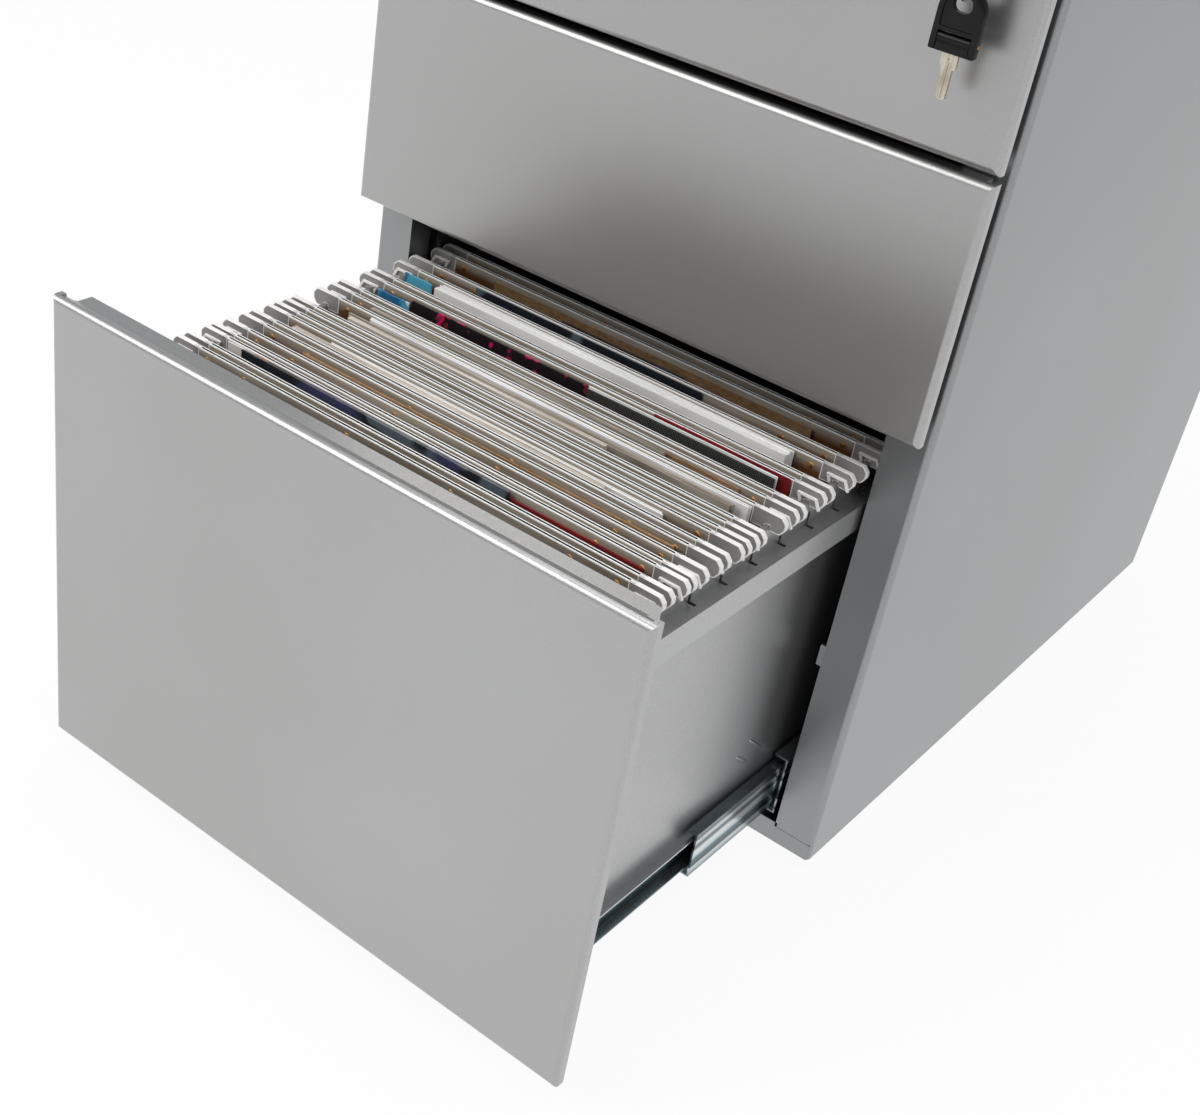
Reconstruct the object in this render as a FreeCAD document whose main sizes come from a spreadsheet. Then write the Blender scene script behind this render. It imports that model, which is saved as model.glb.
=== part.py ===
"""Three-drawer steel filing drawer unit: two box drawers over a file drawer, standing open on its slides."""

import FreeCAD, Part
import os
import math
import Sketcher

doc = FreeCAD.newDocument("filing_drawer_unit")
sizes = doc.addObject("Spreadsheet::Sheet", "Sizes")
pieces = []


SAME = 1e-4


class Size:
    """A length in mm that carries its number and the expression that ties it to the sheet of sizes."""

    def __init__(self, number, text):
        self.number = number
        self.text = text

    def __add__(self, other):
        other = as_size(other)
        return Size(self.number + other.number, f"({self.text} + {other.text})")

    def __sub__(self, other):
        other = as_size(other)
        return Size(self.number - other.number, f"({self.text} - {other.text})")

    def __mul__(self, other):
        other = as_size(other)
        return Size(self.number * other.number, f"({self.text} * {other.text})")

    def __truediv__(self, other):
        other = as_size(other)
        return Size(self.number / other.number, f"({self.text} / {other.text})")

    def __radd__(self, other):
        return as_size(other) + self

    def __rsub__(self, other):
        return as_size(other) - self

    def __rmul__(self, other):
        return as_size(other) * self

    def __neg__(self):
        return self * -1


def as_size(value):
    return value if isinstance(value, Size) else Size(float(value), f"({float(value)})")


def size(name, number):
    """Writes one named driving size into the sheet."""
    row = len(size.names) + 1
    size.names.append(name)
    sizes.set(f"A{row}", name)
    sizes.set(f"B{row}", str(number))
    sizes.setAlias(f"B{row}", name)
    return Size(float(number), f"Sizes.{name}")


size.names = []

# Case
case_width = size("case_width", 420)
case_depth = size("case_depth", 565)
case_height = size("case_height", 642)
case_sheet = size("case_sheet", 1.0)
case_corner = size("case_corner_radius", 4)
stile_width = size("stile_width", 28.5)
stile_return = size("stile_return_depth", 20)
rear_return = size("rear_return_width", 20)
plate_height = size("front_plate_height", 12)
upstand = size("base_upstand_height", 15)
seam = size("seam_gap", 0.3)
back_flange = size("back_panel_flange", 12)

# Levelling glides
glide_height = size("glide_height", 10)
glide_foot_radius = size("glide_foot_radius", 18)
glide_foot_thickness = size("glide_foot_thickness", 7)
glide_neck_radius = size("glide_neck_radius", 8)
glide_stud_radius = size("glide_stud_radius", 4)
glide_stud_length = size("glide_stud_length", 18)
glide_inset_across = size("glide_inset_across", 50)
glide_inset_along = size("glide_inset_along", 36)
nut_width = size("nut_across_flats", 13)
nut_height = size("nut_height", 6.5)
thread_clearance = size("thread_clearance", 0.1)

# Drawer fronts
front_projection = size("front_projection", 23.5)
front_sheet = size("front_sheet", 1.0)
front_return = size("front_return_depth", 8)
front_corner = size("front_edge_radius", 4)
front_flange = size("front_fixing_flange", 34)
first_front_bottom = size("lowest_front_above_case_bottom", 4)
top_clearance = size("top_front_below_case_top", 15)
box_front_height = size("box_front_height", 152)
front_gap = size("gap_between_fronts", 4.5)
grip_depth = size("grip_lip_depth", 21)
grip_dip = size("grip_dip", 3)
grip_slope_end = size("grip_slope_end", 11)
grip_end_inset = size("grip_end_inset", 10)
grip_hem = size("grip_hem_height", 11)
file_opening = size("file_drawer_opening_at_rest", 250)

# Trays
tray_sheet = size("tray_sheet", 1.0)
tray_inset = size("tray_wall_from_case_side", 46)
tray_short = size("tray_shorter_than_case", 40)
tray_below_slide = size("tray_floor_below_slide_centre", 20)
box_tray_drop = size("box_tray_lower_than_front", 52)
tray_hem = size("tray_hem_width", 5)
rear_wall_drop = size("file_rear_wall_lower_than_front", 110)
band_inset = size("rail_band_from_case_side", 31)
band_drop = size("rail_band_lower_than_front", 88)
ledge_drop = size("rail_ledge_lower_than_front", 70)
rail_drop = size("rail_top_lower_than_front", 53)
rail_inset = size("rail_face_from_case_side", 41)
rail_width = size("rail_width", 4)
rail_hem = size("rail_hem_height", 5)
rail_round = size("rail_top_radius", 1.2)
slot_pitch = size("rail_slot_pitch", 30)
slot_first = size("rail_slot_first_behind_face", 104.4)
slot_width = size("rail_slot_width", 2.5)
slot_rise = size("rail_slot_rise", 9)
slot_foot = size("rail_slot_foot", 4.5)
slot_count = 13

# Slides
slide_rise = size("slide_centre_above_front_bottom", 36)
slide_inset = size("slide_face_from_case_side", 33.5)
slide_wall = size("slide_wall", 1.2)
slide_outer_half = size("slide_outer_half_height", 22.5)
flange_tip_inset = size("slide_flange_tip_from_case_side", 43.5)
slide_setback = size("slide_setback_behind_stile", 4)
slide_short = size("slide_shorter_than_case", 65)
middle_short = size("middle_member_shorter_than_slide", 50)
middle_setback = size("slide_middle_setback", 25)
middle_gap = size("slide_web_gap_outer", 1.6)
inner_short = size("inner_member_shorter_than_slide", 10)
inner_setback = size("slide_inner_setback_from_tray_front", 5.5)
inner_depth = size("slide_inner_depth", 7)
ball_diameter = size("ball_diameter", 4)
ball_play = size("ball_play", 0.15)
ball_hole_play = size("ball_hole_play", 0.1)
ball_pitch = size("ball_pitch", 26)
cage_wall = size("cage_wall", 0.6)
cage_length = size("cage_length", 150)
cage_setback = size("cage_setback_behind_stile", 190)
ball_count = 5
stop_length = size("slide_stop_length", 10)
stop_play = size("slide_stop_play", 0.3)

# Slide uprights
upright_inset = size("upright_face_from_case_side", 29.7)
upright_width = size("upright_width", 32)
upright_flange = size("upright_flange", 10)
front_upright_setback = size("front_upright_setback", 28)
rear_upright_inset = size("rear_upright_before_case_back", 103)
pad_half = size("slide_pad_half_size", 10)
rivet_radius = size("rivet_radius", 2)
rivet_head = size("rivet_head_radius", 4)
rivet_head_height = size("rivet_head_height", 1.5)
hole_play = size("hole_play", 0.05)

# Lock and lock bar
lock_inset = size("lock_from_case_side", 34.4)
lock_below_top = size("lock_below_front_top", 32.5)
housing_radius = size("lock_housing_radius", 9.4)
housing_flange = size("lock_flange_radius", 11)
housing_flange_depth = size("lock_flange_depth", 1.5)
housing_length = size("lock_housing_length", 19)
lock_nut_radius = size("lock_nut_radius", 12.5)
lock_nut_depth = size("lock_nut_depth", 3)
barrel_radius = size("lock_barrel_radius", 6.5)
barrel_play = size("lock_barrel_play", 0.1)
cam_radius = size("lock_cam_radius", 9)
cam_depth = size("lock_cam_depth", 2)
pin_offset = size("lock_pin_offset", 7.2)
pin_radius = size("lock_pin_radius", 1.5)
pin_reach = size("lock_pin_reach", 9)
bar_front = size("lock_bar_behind_stile_face", 2.5)
bar_thickness = size("lock_bar_thickness", 3)
bar_inset = size("lock_bar_edge_from_case_side", 26)
bar_width = size("lock_bar_width", 12)
bar_bottom = size("lock_bar_bottom", 120)
hook_inset = size("lock_hook_tip_from_case_side", 33)
hook_height = size("lock_hook_height", 15)
file_hook_rise = size("file_hook_above_front_bottom", 138)
box_hook_rise = size("box_hook_above_front_bottom", 62)
catch_height = size("catch_height", 8)
catch_over_hook = size("catch_over_hook", 3)
catch_play = size("catch_play", 0.5)
catch_depth = size("catch_depth", 6)
catch_inset = size("catch_tip_from_case_side", 30)
fork_inset = size("fork_tip_from_case_side", 45.4)
fork_prong = size("fork_prong", 3.5)
fork_play = size("fork_play", 0.4)
slide_play = size("sliding_play", 0.3)
guide_height = size("bar_guide_height", 20)
guide_wall = size("bar_guide_wall", 2.5)

# Keys
key_reach = size("key_hinge_in_front_of_face", 16.5)
key_blade_width = size("key_blade_width", 9.2)
key_blade_thickness = size("key_blade_thickness", 2)
key_blade_length = size("key_blade_length", 29.2)
key_in_lock = size("key_blade_in_lock", 13)
key_play = size("key_play", 0.25)
head_width = size("key_head_width", 17.8)
head_foot = size("key_head_below_pin", 6.3)
head_radius = size("key_head_radius", 2.8)
head_gap = size("key_head_gap", 0.7)
bow_width = size("key_bow_width", 24.9)
bow_length = size("key_bow_length", 25.8)
bow_thickness = size("key_bow_thickness", 5)
bow_bridge = size("key_bow_bridge", 5)
bow_hole_height = size("key_bow_hole_height", 7.4)
bow_hole_width = size("key_bow_hole_width", 10.5)
bow_hole_corner = size("key_bow_hole_radius", 3.5)
bow_corner = size("key_bow_corner_radius", 12.2)
bow_pin_radius = size("key_pin_radius", 1)
ring_wire = size("key_ring_wire_radius", 0.8)
ring_radius = size("key_ring_radius", 9.7)
ring_play = size("key_ring_play", 0.7)

# Hanging files
bar_top_drop = size("file_bar_top_lower_than_front", 45)
bar_face_height = size("file_bar_height", 15)
bar_face_thickness = size("file_bar_thickness", 2.4)
bar_groove = size("file_bar_groove_width", 1)
bar_groove_depth = size("file_bar_groove_depth", 3)
file_bar_inset = size("file_bar_end_from_case_side", 50)
cap_inset = size("file_hook_end_from_case_side", 32)
cap_thickness = size("file_hook_thickness", 3.6)
cap_drop = size("file_hook_drop", 2)
cap_round = size("file_hook_radius", 3.5)
rail_play = size("file_hook_play_on_rail", 0.3)
pocket_inset = size("file_pocket_edge_from_case_side", 58)
pocket_sheet = size("file_pocket_sheet", 0.8)
pocket_bottom = size("file_pocket_bottom_above_tray_bottom", 25)
pocket_foot = size("file_pocket_foot_width", 5)
paper_inset = size("paper_edge_from_case_side", 64)
paper_drop = size("paper_below_bar_top", 24)
clip_inset = size("link_clip_end_from_case_side", 40.5)
clip_length = size("link_clip_length", 13.5)
clip_rod = size("link_clip_rod", 1.8)
clip_leg = size("link_clip_leg", 5)
clip_margin = size("link_clip_leg_margin", 2)
clip_drop = size("link_clip_below_bar_top", 5.4)

doc.recompute()

SIDES = {"left": -1, "right": 1}
SINE_45 = round(math.sin(math.radians(45)), 6)

# Planes and heights that several pieces share
base_level = glide_height
half_width = case_width / 2
stile_face = (front_projection + file_opening) / 2 - case_depth / 2
stile_inner = half_width - stile_width
case_back = stile_face + case_depth
side_inner = half_width - case_sheet
tray_outer_half = side_inner - seam
file_front_height = case_height - top_clearance - first_front_bottom - front_gap * 2 - box_front_height * 2
tray_half = half_width - tray_inset
tray_length = case_depth - tray_short
box_tray_height = box_front_height - box_tray_drop
band_half = half_width - band_inset
rail_outer = half_width - rail_inset
file_rear_wall_height = file_front_height - rear_wall_drop
band_bottom = file_front_height - band_drop
ledge_height = file_front_height - ledge_drop
rail_top = file_front_height - rail_drop
bar_top_height = file_front_height - bar_top_drop
slide_outer_face = half_width - slide_inset
slide_flange_tip = half_width - flange_tip_inset
slide_length = case_depth - slide_short
middle_length = slide_length - middle_short
inner_length = slide_length - inner_short
upright_face = half_width - upright_inset
lock_offset = half_width - lock_inset
bar_inner = half_width - bar_inset
hook_tip = half_width - hook_inset
catch_tip = half_width - catch_inset
fork_tip = half_width - fork_inset
bar_half_length = half_width - file_bar_inset
cap_half_length = half_width - cap_inset
pocket_half = half_width - pocket_inset
paper_half = half_width - paper_inset
clip_end = half_width - clip_inset
race_gap = ball_diameter + ball_play * 2
middle_half = slide_outer_half - slide_wall - race_gap
inner_half = middle_half - slide_wall - race_gap
outer_web = slide_outer_face - slide_wall
middle_face = outer_web - middle_gap
middle_web = middle_face - slide_wall
inner_tip = tray_half + inner_depth
bar_travel = pin_offset * 2 * SINE_45


def bind(thing, prop, value):
    thing.setExpression(prop, as_size(value).text)


def keep(thing):
    """Registers a finished sub-part: its label names its file."""
    pieces.append(thing)
    return thing


def new_body(label):
    made = doc.addObject("PartDesign::Body", label)
    made.Label = label
    return made


def sketch_on(body, plane, level):
    """An empty sketch on one of the body's origin planes, at a level along the world axis."""
    level = as_size(level)
    sketch = body.newObject("Sketcher::SketchObject", body.Label + "_sketch")
    origin_plane = next(f for f in body.Origin.OriginFeatures if f.Role == plane + "_Plane")
    sketch.AttachmentSupport = [(origin_plane, "")]
    sketch.MapMode = "FlatFace"
    # the XZ plane faces the other way along its axis
    bind(sketch, "AttachmentOffset.Base.z", -level if plane == "XZ" else level)
    return sketch


def fix_point(sketch, geometry, vertex, point):
    for kind, letter, value in zip(("DistanceX", "DistanceY"), "xy", point):
        value = as_size(value)
        rule = Sketcher.Constraint(kind, -1, 1, geometry, vertex, value.number)
        rule.Name = f"{letter}{geometry}"
        sketch.addConstraint(rule)
        sketch.setExpression(f"Constraints.{rule.Name}", value.text)


def draw_outline(sketch, points):
    """A closed outline of straight runs through points, each point tied to the sizes."""
    first = sketch.GeometryCount
    flat = [FreeCAD.Vector(as_size(a).number, as_size(b).number, 0) for a, b in points]
    count = len(flat)
    runs = [Part.LineSegment(flat[i], flat[(i + 1) % count]) for i in range(count)]
    sketch.addGeometry(runs, False)
    joins = [Sketcher.Constraint("Coincident", first + i, 2, first + (i + 1) % count, 1) for i in range(count)]
    sketch.addConstraint(joins)
    for i, point in enumerate(points):
        fix_point(sketch, first + i, 1, point)


def draw_circle(sketch, centre, radius):
    radius = as_size(radius)
    middle = FreeCAD.Vector(as_size(centre[0]).number, as_size(centre[1]).number, 0)
    circle = Part.Circle(middle, FreeCAD.Vector(0, 0, 1), radius.number)
    index = sketch.addGeometry(circle, False)
    fix_point(sketch, index, 3, centre)
    rule = Sketcher.Constraint("Radius", index, radius.number)
    rule.Name = f"r{index}"
    sketch.addConstraint(rule)
    sketch.setExpression(f"Constraints.{rule.Name}", radius.text)


def pad(body, plane, outline, low, high):
    """Adds the outline's prism between two levels along the plane's world axis."""
    start = high if plane == "XZ" else low
    sketch = sketch_on(body, plane, start)
    draw_outline(sketch, outline)
    made = body.newObject("PartDesign::Pad", body.Label + "_pad")
    made.Profile = sketch
    bind(made, "Length", as_size(high) - low)
    return made


def cut(body, plane, outlines, low, high, circles=()):
    """Pockets each outline, and each (centre, radius) circle, between two levels."""
    start = low if plane == "XZ" else high
    sketch = sketch_on(body, plane, start)
    for outline in outlines:
        draw_outline(sketch, outline)
    for centre, radius in circles:
        draw_circle(sketch, centre, radius)
    made = body.newObject("PartDesign::Pocket", body.Label + "_pocket")
    made.Profile = sketch
    bind(made, "Length", as_size(high) - low)
    return made


def rectangle(a, b, c, d):
    """The corners of a rectangle from a to b one way and from c to d the other."""
    return [(a, c), (b, c), (b, d), (a, d)]


def folded(path, thickness):
    """Sheet metal bent along an axis-parallel path: the path is one skin, the sheet lies on its left."""
    steps = []
    for (a, b), (c, d) in zip(path, path[1:]):
        along = as_size(c).number - as_size(a).number
        across = as_size(d).number - as_size(b).number
        if abs(along) > abs(across):
            steps.append((0, math.copysign(1, along)))
        else:
            steps.append((-math.copysign(1, across), 0))
    normals = [steps[0]]
    for before, after in zip(steps, steps[1:]):
        normals.append((before[0] + after[0], before[1] + after[1]))
    normals.append(steps[-1])
    inner = [(a + thickness * n[0], b + thickness * n[1]) for (a, b), n in zip(path, normals)]
    return path + inner[::-1]


LEVEL_AXIS = {"XY": "z", "XZ": "y", "YZ": "x"}


def edges_along(shape, plane, point):
    """Names the edges parallel to the plane's normal that pass through a point of the plane."""
    axis = LEVEL_AXIS[plane]
    target = dict(zip(plane.lower(), [as_size(v).number for v in point]))
    found = []
    for number, edge in enumerate(shape.Edges, 1):
        ends = [vertex.Point for vertex in edge.Vertexes]
        through = all(abs(getattr(end, a) - v) < SAME for end in ends for a, v in target.items())
        if len(ends) == 2 and through and abs(getattr(ends[0], axis) - getattr(ends[-1], axis)) > SAME:
            found.append(f"Edge{number}")
    if not found:
        raise ValueError(f"no edge at {target}")
    return found


def round_off(body, plane, points, radius):
    doc.recompute()
    base = body.Tip
    names = [name for point in points for name in edges_along(base.Shape, plane, point)]
    made = body.newObject("PartDesign::Fillet", body.Label + "_round")
    made.Base = (base, names)
    bind(made, "Radius", radius)
    return made


def box(label, x, y, z):
    """A Part box between three pairs of levels."""
    made = doc.addObject("Part::Box", label)
    made.Label = label
    for (low, high), side, axis in zip((x, y, z), ("Length", "Width", "Height"), "xyz"):
        bind(made, side, as_size(high) - low)
        bind(made, f"Placement.Base.{axis}", low)
    return made


TURNS = {
    "x": FreeCAD.Rotation(FreeCAD.Vector(0, 1, 0), 90),
    "y": FreeCAD.Rotation(FreeCAD.Vector(1, 0, 0), -90),
    "z": FreeCAD.Rotation(),
}


def cylinder(label, axis, centre, radius, low, high):
    """A Part cylinder along a world axis; centre gives the two other coordinates in order."""
    made = doc.addObject("Part::Cylinder", label)
    made.Label = label
    made.Placement = FreeCAD.Placement(FreeCAD.Vector(), TURNS[axis])
    bind(made, "Radius", radius)
    bind(made, "Height", as_size(high) - low)
    bind(made, f"Placement.Base.{axis}", low)
    for other, value in zip([a for a in "xyz" if a != axis], centre):
        bind(made, f"Placement.Base.{other}", value)
    return made


def fuse(label, parts):
    made = doc.addObject("Part::MultiFuse", label)
    made.Label = label
    made.Shapes = parts
    return made


def minus(label, base, tool):
    made = doc.addObject("Part::Cut", label)
    made.Label = label
    made.Base = base
    made.Tool = tool
    return made


def group(label, parts):
    """Identical pieces that share one node, each a solid of its own."""
    made = doc.addObject("Part::Compound", label)
    made.Label = label
    made.Links = parts
    return keep(made)


# The drawers from the bottom up: where each front starts and how tall it is, and how far it stands open
file_bottom = base_level + first_front_bottom
middle_bottom = file_bottom + file_front_height + front_gap
top_bottom = middle_bottom + box_front_height + front_gap
DRAWERS = {
    "file": (file_bottom, file_front_height, file_opening, file_hook_rise),
    "middle": (middle_bottom, box_front_height, as_size(0), box_hook_rise),
    "top": (top_bottom, box_front_height, as_size(0), box_hook_rise),
}
top_of_fronts = top_bottom + box_front_height
lock_level = top_of_fronts - lock_below_top
fork_level = lock_level - pin_offset * SINE_45
rivet_hole = rivet_radius + hole_play
upright_fronts = {
    "front": stile_face + front_upright_setback,
    "rear": case_back - rear_upright_inset,
}


def slide_level(name):
    return DRAWERS[name][0] + slide_rise


def hook_level(name):
    bottom, _, _, rise = DRAWERS[name]
    return bottom + rise


def side_panel(hand):
    """Side wall with its rounded stile, stile return and rear return; the right one is slotted for the lock."""
    s = SIDES[hand]
    made = new_body(f"side_panel_{hand}")
    path = [
        (stile_inner, stile_face + stile_return),
        (stile_inner, stile_face),
        (half_width, stile_face),
        (half_width, case_back),
        (half_width - rear_return, case_back),
    ]
    outline = folded(path, case_sheet)
    pad(made, "XY", [(x * s, y) for x, y in outline], base_level, base_level + case_height)
    round_off(made, "XY", [(half_width * s, stile_face)], case_corner)
    round_off(made, "XY", [((side_inner) * s, stile_face + case_sheet)], case_corner - case_sheet)
    inner, outer = (stile_inner - 1) * s, (tray_outer_half + seam / 2) * s
    notch = plate_height + seam
    low, high = (inner, outer) if s > 0 else (outer, inner)
    cut(made, "XZ", [
        rectangle(low, high, base_level - 1, base_level + notch),
        rectangle(low, high, base_level + case_height - notch, base_level + case_height + 1),
    ], stile_face - 1, stile_face + case_sheet)
    relief = (stile_inner + case_sheet + seam) * s
    low, high = (inner, relief) if s > 0 else (relief, inner)
    cut(made, "XZ", [
        rectangle(low, high, base_level - 1, base_level + upstand + seam),
        rectangle(low, high, base_level + case_height - upstand - seam, base_level + case_height + 1),
    ], stile_face - 1, stile_face + stile_return + 1)
    if hand == "right":
        slots = []
        for name in DRAWERS:
            level = hook_level(name)
            slots.append(rectangle(
                stile_face + bar_front - slide_play, stile_face + bar_front + bar_thickness + slide_play,
                level - slide_play, level + hook_height + bar_travel + slide_play))
        fork_half = pin_radius + fork_play + fork_prong
        slots.append(rectangle(
            stile_face + bar_front - slide_play, stile_face + bar_front + bar_thickness + slide_play,
            fork_level - fork_half - slide_play, fork_level + fork_half + bar_travel + slide_play))
        cut(made, "YZ", slots, stile_inner - 1, stile_inner + case_sheet + 1)
    return keep(made)


def flat_tray(label, low, high, front_high, open_up):
    """Base or top of the case: a shallow folded tray whose front plate lies flush with the stiles."""
    made = new_body(label)
    front = stile_face
    rear = case_back - case_sheet
    wide = tray_outer_half
    pad(made, "XY", rectangle(-wide, wide, front, rear), low, high)
    floor = low + case_sheet if open_up else high - case_sheet
    reach = (floor, high + 1) if open_up else (low - 1, floor)
    cut(made, "XY", [rectangle(-wide + case_sheet, wide - case_sheet, front + case_sheet, rear - case_sheet)],
        *reach)
    # the front plate is lower over the stiles, and the side walls start behind the stile returns
    inner = stile_inner - seam
    step = (low + front_high, high + 1) if open_up else (low - 1, high - front_high)
    cut(made, "XZ", [rectangle(-wide - 1, -inner, *step), rectangle(inner, wide + 1, *step)],
        front - 1, front + case_sheet)
    # the corners are clipped to clear the rounded stiles
    cut(made, "XZ", [rectangle(-wide - 1, -wide + case_corner, low - 1, high + 1),
                     rectangle(wide - case_corner, wide + 1, low - 1, high + 1)],
        front + case_sheet, front + case_corner)
    return made


def base_pan():
    made = flat_tray("base_pan", base_level, base_level + upstand, plate_height, True)
    holes = [((x, y), glide_stud_radius + thread_clearance) for x, y in glide_places()]
    cut(made, "XY", [], base_level - 1, base_level + case_sheet + 1, holes)
    return keep(made)


def glide_places():
    across = half_width - glide_inset_across
    lines = (stile_face + glide_inset_along, case_back - glide_inset_along)
    return [(across * s, y) for s in SIDES.values() for y in lines]


def back_panel():
    """Rear closing panel with two stiffening flanges, held behind by the side panels' returns."""
    made = new_body("back_panel")
    rear = case_back - case_sheet
    wide = tray_outer_half
    path = [(wide, rear - back_flange), (wide, rear), (-wide, rear), (-wide, rear - back_flange)]
    pad(made, "XY", folded(path, case_sheet), base_level + upstand + seam,
        base_level + case_height - upstand - seam)
    return keep(made)


def upright(place, hand):
    """Folded channel that carries the slides; its flanges lie on the side panel."""
    s = SIDES[hand]
    made = new_body(f"{place}_upright_{hand}")
    front = upright_fronts[place]
    rear = front + upright_width
    web = upright_face + case_sheet
    path = [
        (side_inner, rear + upright_flange), (side_inner, rear), (web, rear),
        (web, front), (side_inner, front), (side_inner, front - upright_flange),
    ]
    outline = [(x * s, y) for x, y in folded(path, -case_sheet)]
    pad(made, "XY", outline, base_level + upstand + seam, base_level + case_height - upstand - seam)
    middle = (front + rear) / 2
    holes = [((middle, slide_level(name)), rivet_hole) for name in DRAWERS]
    low, high = (upright_face - 1, upright_face + 2) if s > 0 else (-upright_face - 2, -upright_face + 1)
    cut(made, "YZ", [], low, high, holes)
    return made


def levelling_glide(label, place):
    """Round moulded foot on a threaded stud, screwed right in."""
    made = new_body(label)
    across, along = place
    sketch = sketch_on(made, "XZ", along)
    edge = glide_foot_thickness / 3
    profile = [
        (across, 0), (across + glide_foot_radius - 1, 0), (across + glide_foot_radius, edge),
        (across + glide_foot_radius, edge * 2), (across + glide_neck_radius, glide_foot_thickness),
        (across + glide_neck_radius, glide_height - seam), (across + glide_stud_radius, glide_height - seam),
        (across + glide_stud_radius, glide_height + glide_stud_length), (across, glide_height + glide_stud_length),
    ]
    draw_outline(sketch, profile)
    made_turn = made.newObject("PartDesign::Revolution", label + "_turn")
    made_turn.Profile = sketch
    # the turn's axis is the outline's last side, which runs down the stud's middle
    axis_edge = f"Edge{len(profile)}"
    made_turn.ReferenceAxis = (sketch, [axis_edge])
    return keep(made)


def glide_nut(number, place):
    """Hexagon nut welded over its hole in the base."""
    across, along = place
    made = new_body(f"glide_nut_{number}")
    flat = nut_width / 2
    corner = nut_width / round(math.sqrt(3), 6)
    outline = [
        (across + corner, along), (across + corner / 2, along + flat), (across - corner / 2, along + flat),
        (across - corner, along), (across - corner / 2, along - flat), (across + corner / 2, along - flat),
    ]
    floor = base_level + case_sheet
    pad(made, "XY", outline, floor, floor + nut_height)
    cut(made, "XY", [], floor - 1, floor + nut_height + 1, [(place, glide_stud_radius + thread_clearance)])
    return made


def front_face(name):
    return stile_face - front_projection - DRAWERS[name][2]


def drawer_front(name):
    """Pressed front: rounded face, returns, a fixing flange below and a finger grip rolled along the top."""
    bottom, height, _, _ = DRAWERS[name]
    top = bottom + height
    face = front_face(name)
    back = face + front_return
    made = new_body(f"{name}_drawer_front")
    pad(made, "YZ", rectangle(face, back, bottom, top), -half_width, half_width)
    doc.recompute()
    block = made.Tip
    edges = [edge for height_of in (bottom, top) for edge in edges_along(block.Shape, "YZ", (face, height_of))]
    edges += [edge for s in SIDES.values() for edge in edges_along(block.Shape, "XY", (half_width * s, face))]
    rounding = made.newObject("PartDesign::Fillet", made.Label + "_edges")
    rounding.Base = (block, edges)
    bind(rounding, "Radius", front_corner)
    # the top slopes down from the rounded edge into the grip
    slope = grip_dip / (grip_slope_end - front_corner)
    start = face + front_corner
    dip = top - grip_dip

    def on_slope(depth):
        return top - slope * (depth - front_corner)

    past = front_return + 1
    cut(made, "YZ", [[(start, top), (face + past, on_slope(past)), (face + past, top + 1), (start, top + 1)]],
        front_corner - half_width, half_width - front_corner)
    doc.recompute()
    solid = made.Tip
    open_faces = [f"Face{i}" for i, face_of in enumerate(solid.Shape.Faces, 1)
                  if abs(face_of.CenterOfMass.y - back.number) < SAME]
    shell = made.newObject("PartDesign::Thickness", made.Label + "_shell")
    shell.Base = (solid, open_faces)
    bind(shell, "Value", front_sheet)
    shell.Reversed = True
    lip = face + grip_depth
    wide = half_width - grip_end_inset
    join = front_return - front_sheet / 2
    grip = [
        (face + join, on_slope(join)), (face + grip_slope_end, dip), (lip, dip), (lip, dip - grip_hem),
        (lip - front_sheet, dip - grip_hem), (lip - front_sheet, dip - front_sheet),
        (face + grip_slope_end, dip - front_sheet), (face + join, on_slope(join) - front_sheet),
    ]
    pad(made, "YZ", grip, -wide, wide)
    tab = [(face + join, dip - grip_hem), (lip, dip - grip_hem), (lip, dip), (face + grip_slope_end, dip),
           (face + join, on_slope(join))]
    pad(made, "YZ", tab, -wide, front_sheet - wide)
    pad(made, "YZ", tab, wide - front_sheet, wide)
    pad(made, "XZ", rectangle(grip_end_inset - half_width, wide, bottom, bottom + front_flange),
        back - front_sheet, back)
    cut(made, "XZ", [], back - front_sheet - 1, back + 1, [(place, rivet_hole) for place in screw_places(name)])
    if name == "top":
        cut(made, "XZ", [], face - 1, face + front_sheet + 1, [((lock_offset, lock_level), housing_radius + hole_play)])
    return keep(made)


def screw_places(name):
    """The screws through the fixing flange, two on each side of the middle."""
    level = DRAWERS[name][0] + front_flange - rivet_head - 2
    return [(tray_half * share, level) for share in (-0.8, -0.3, 0.3, 0.8)]


def inner_rivets(name):
    """Places along the tray wall where the inner slide member is riveted on."""
    start = tray_front(name) + inner_setback
    return [(start + inner_length * share, slide_level(name)) for share in (0.1, 0.9)]


def tray_front(name):
    return front_face(name) + front_return


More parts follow.
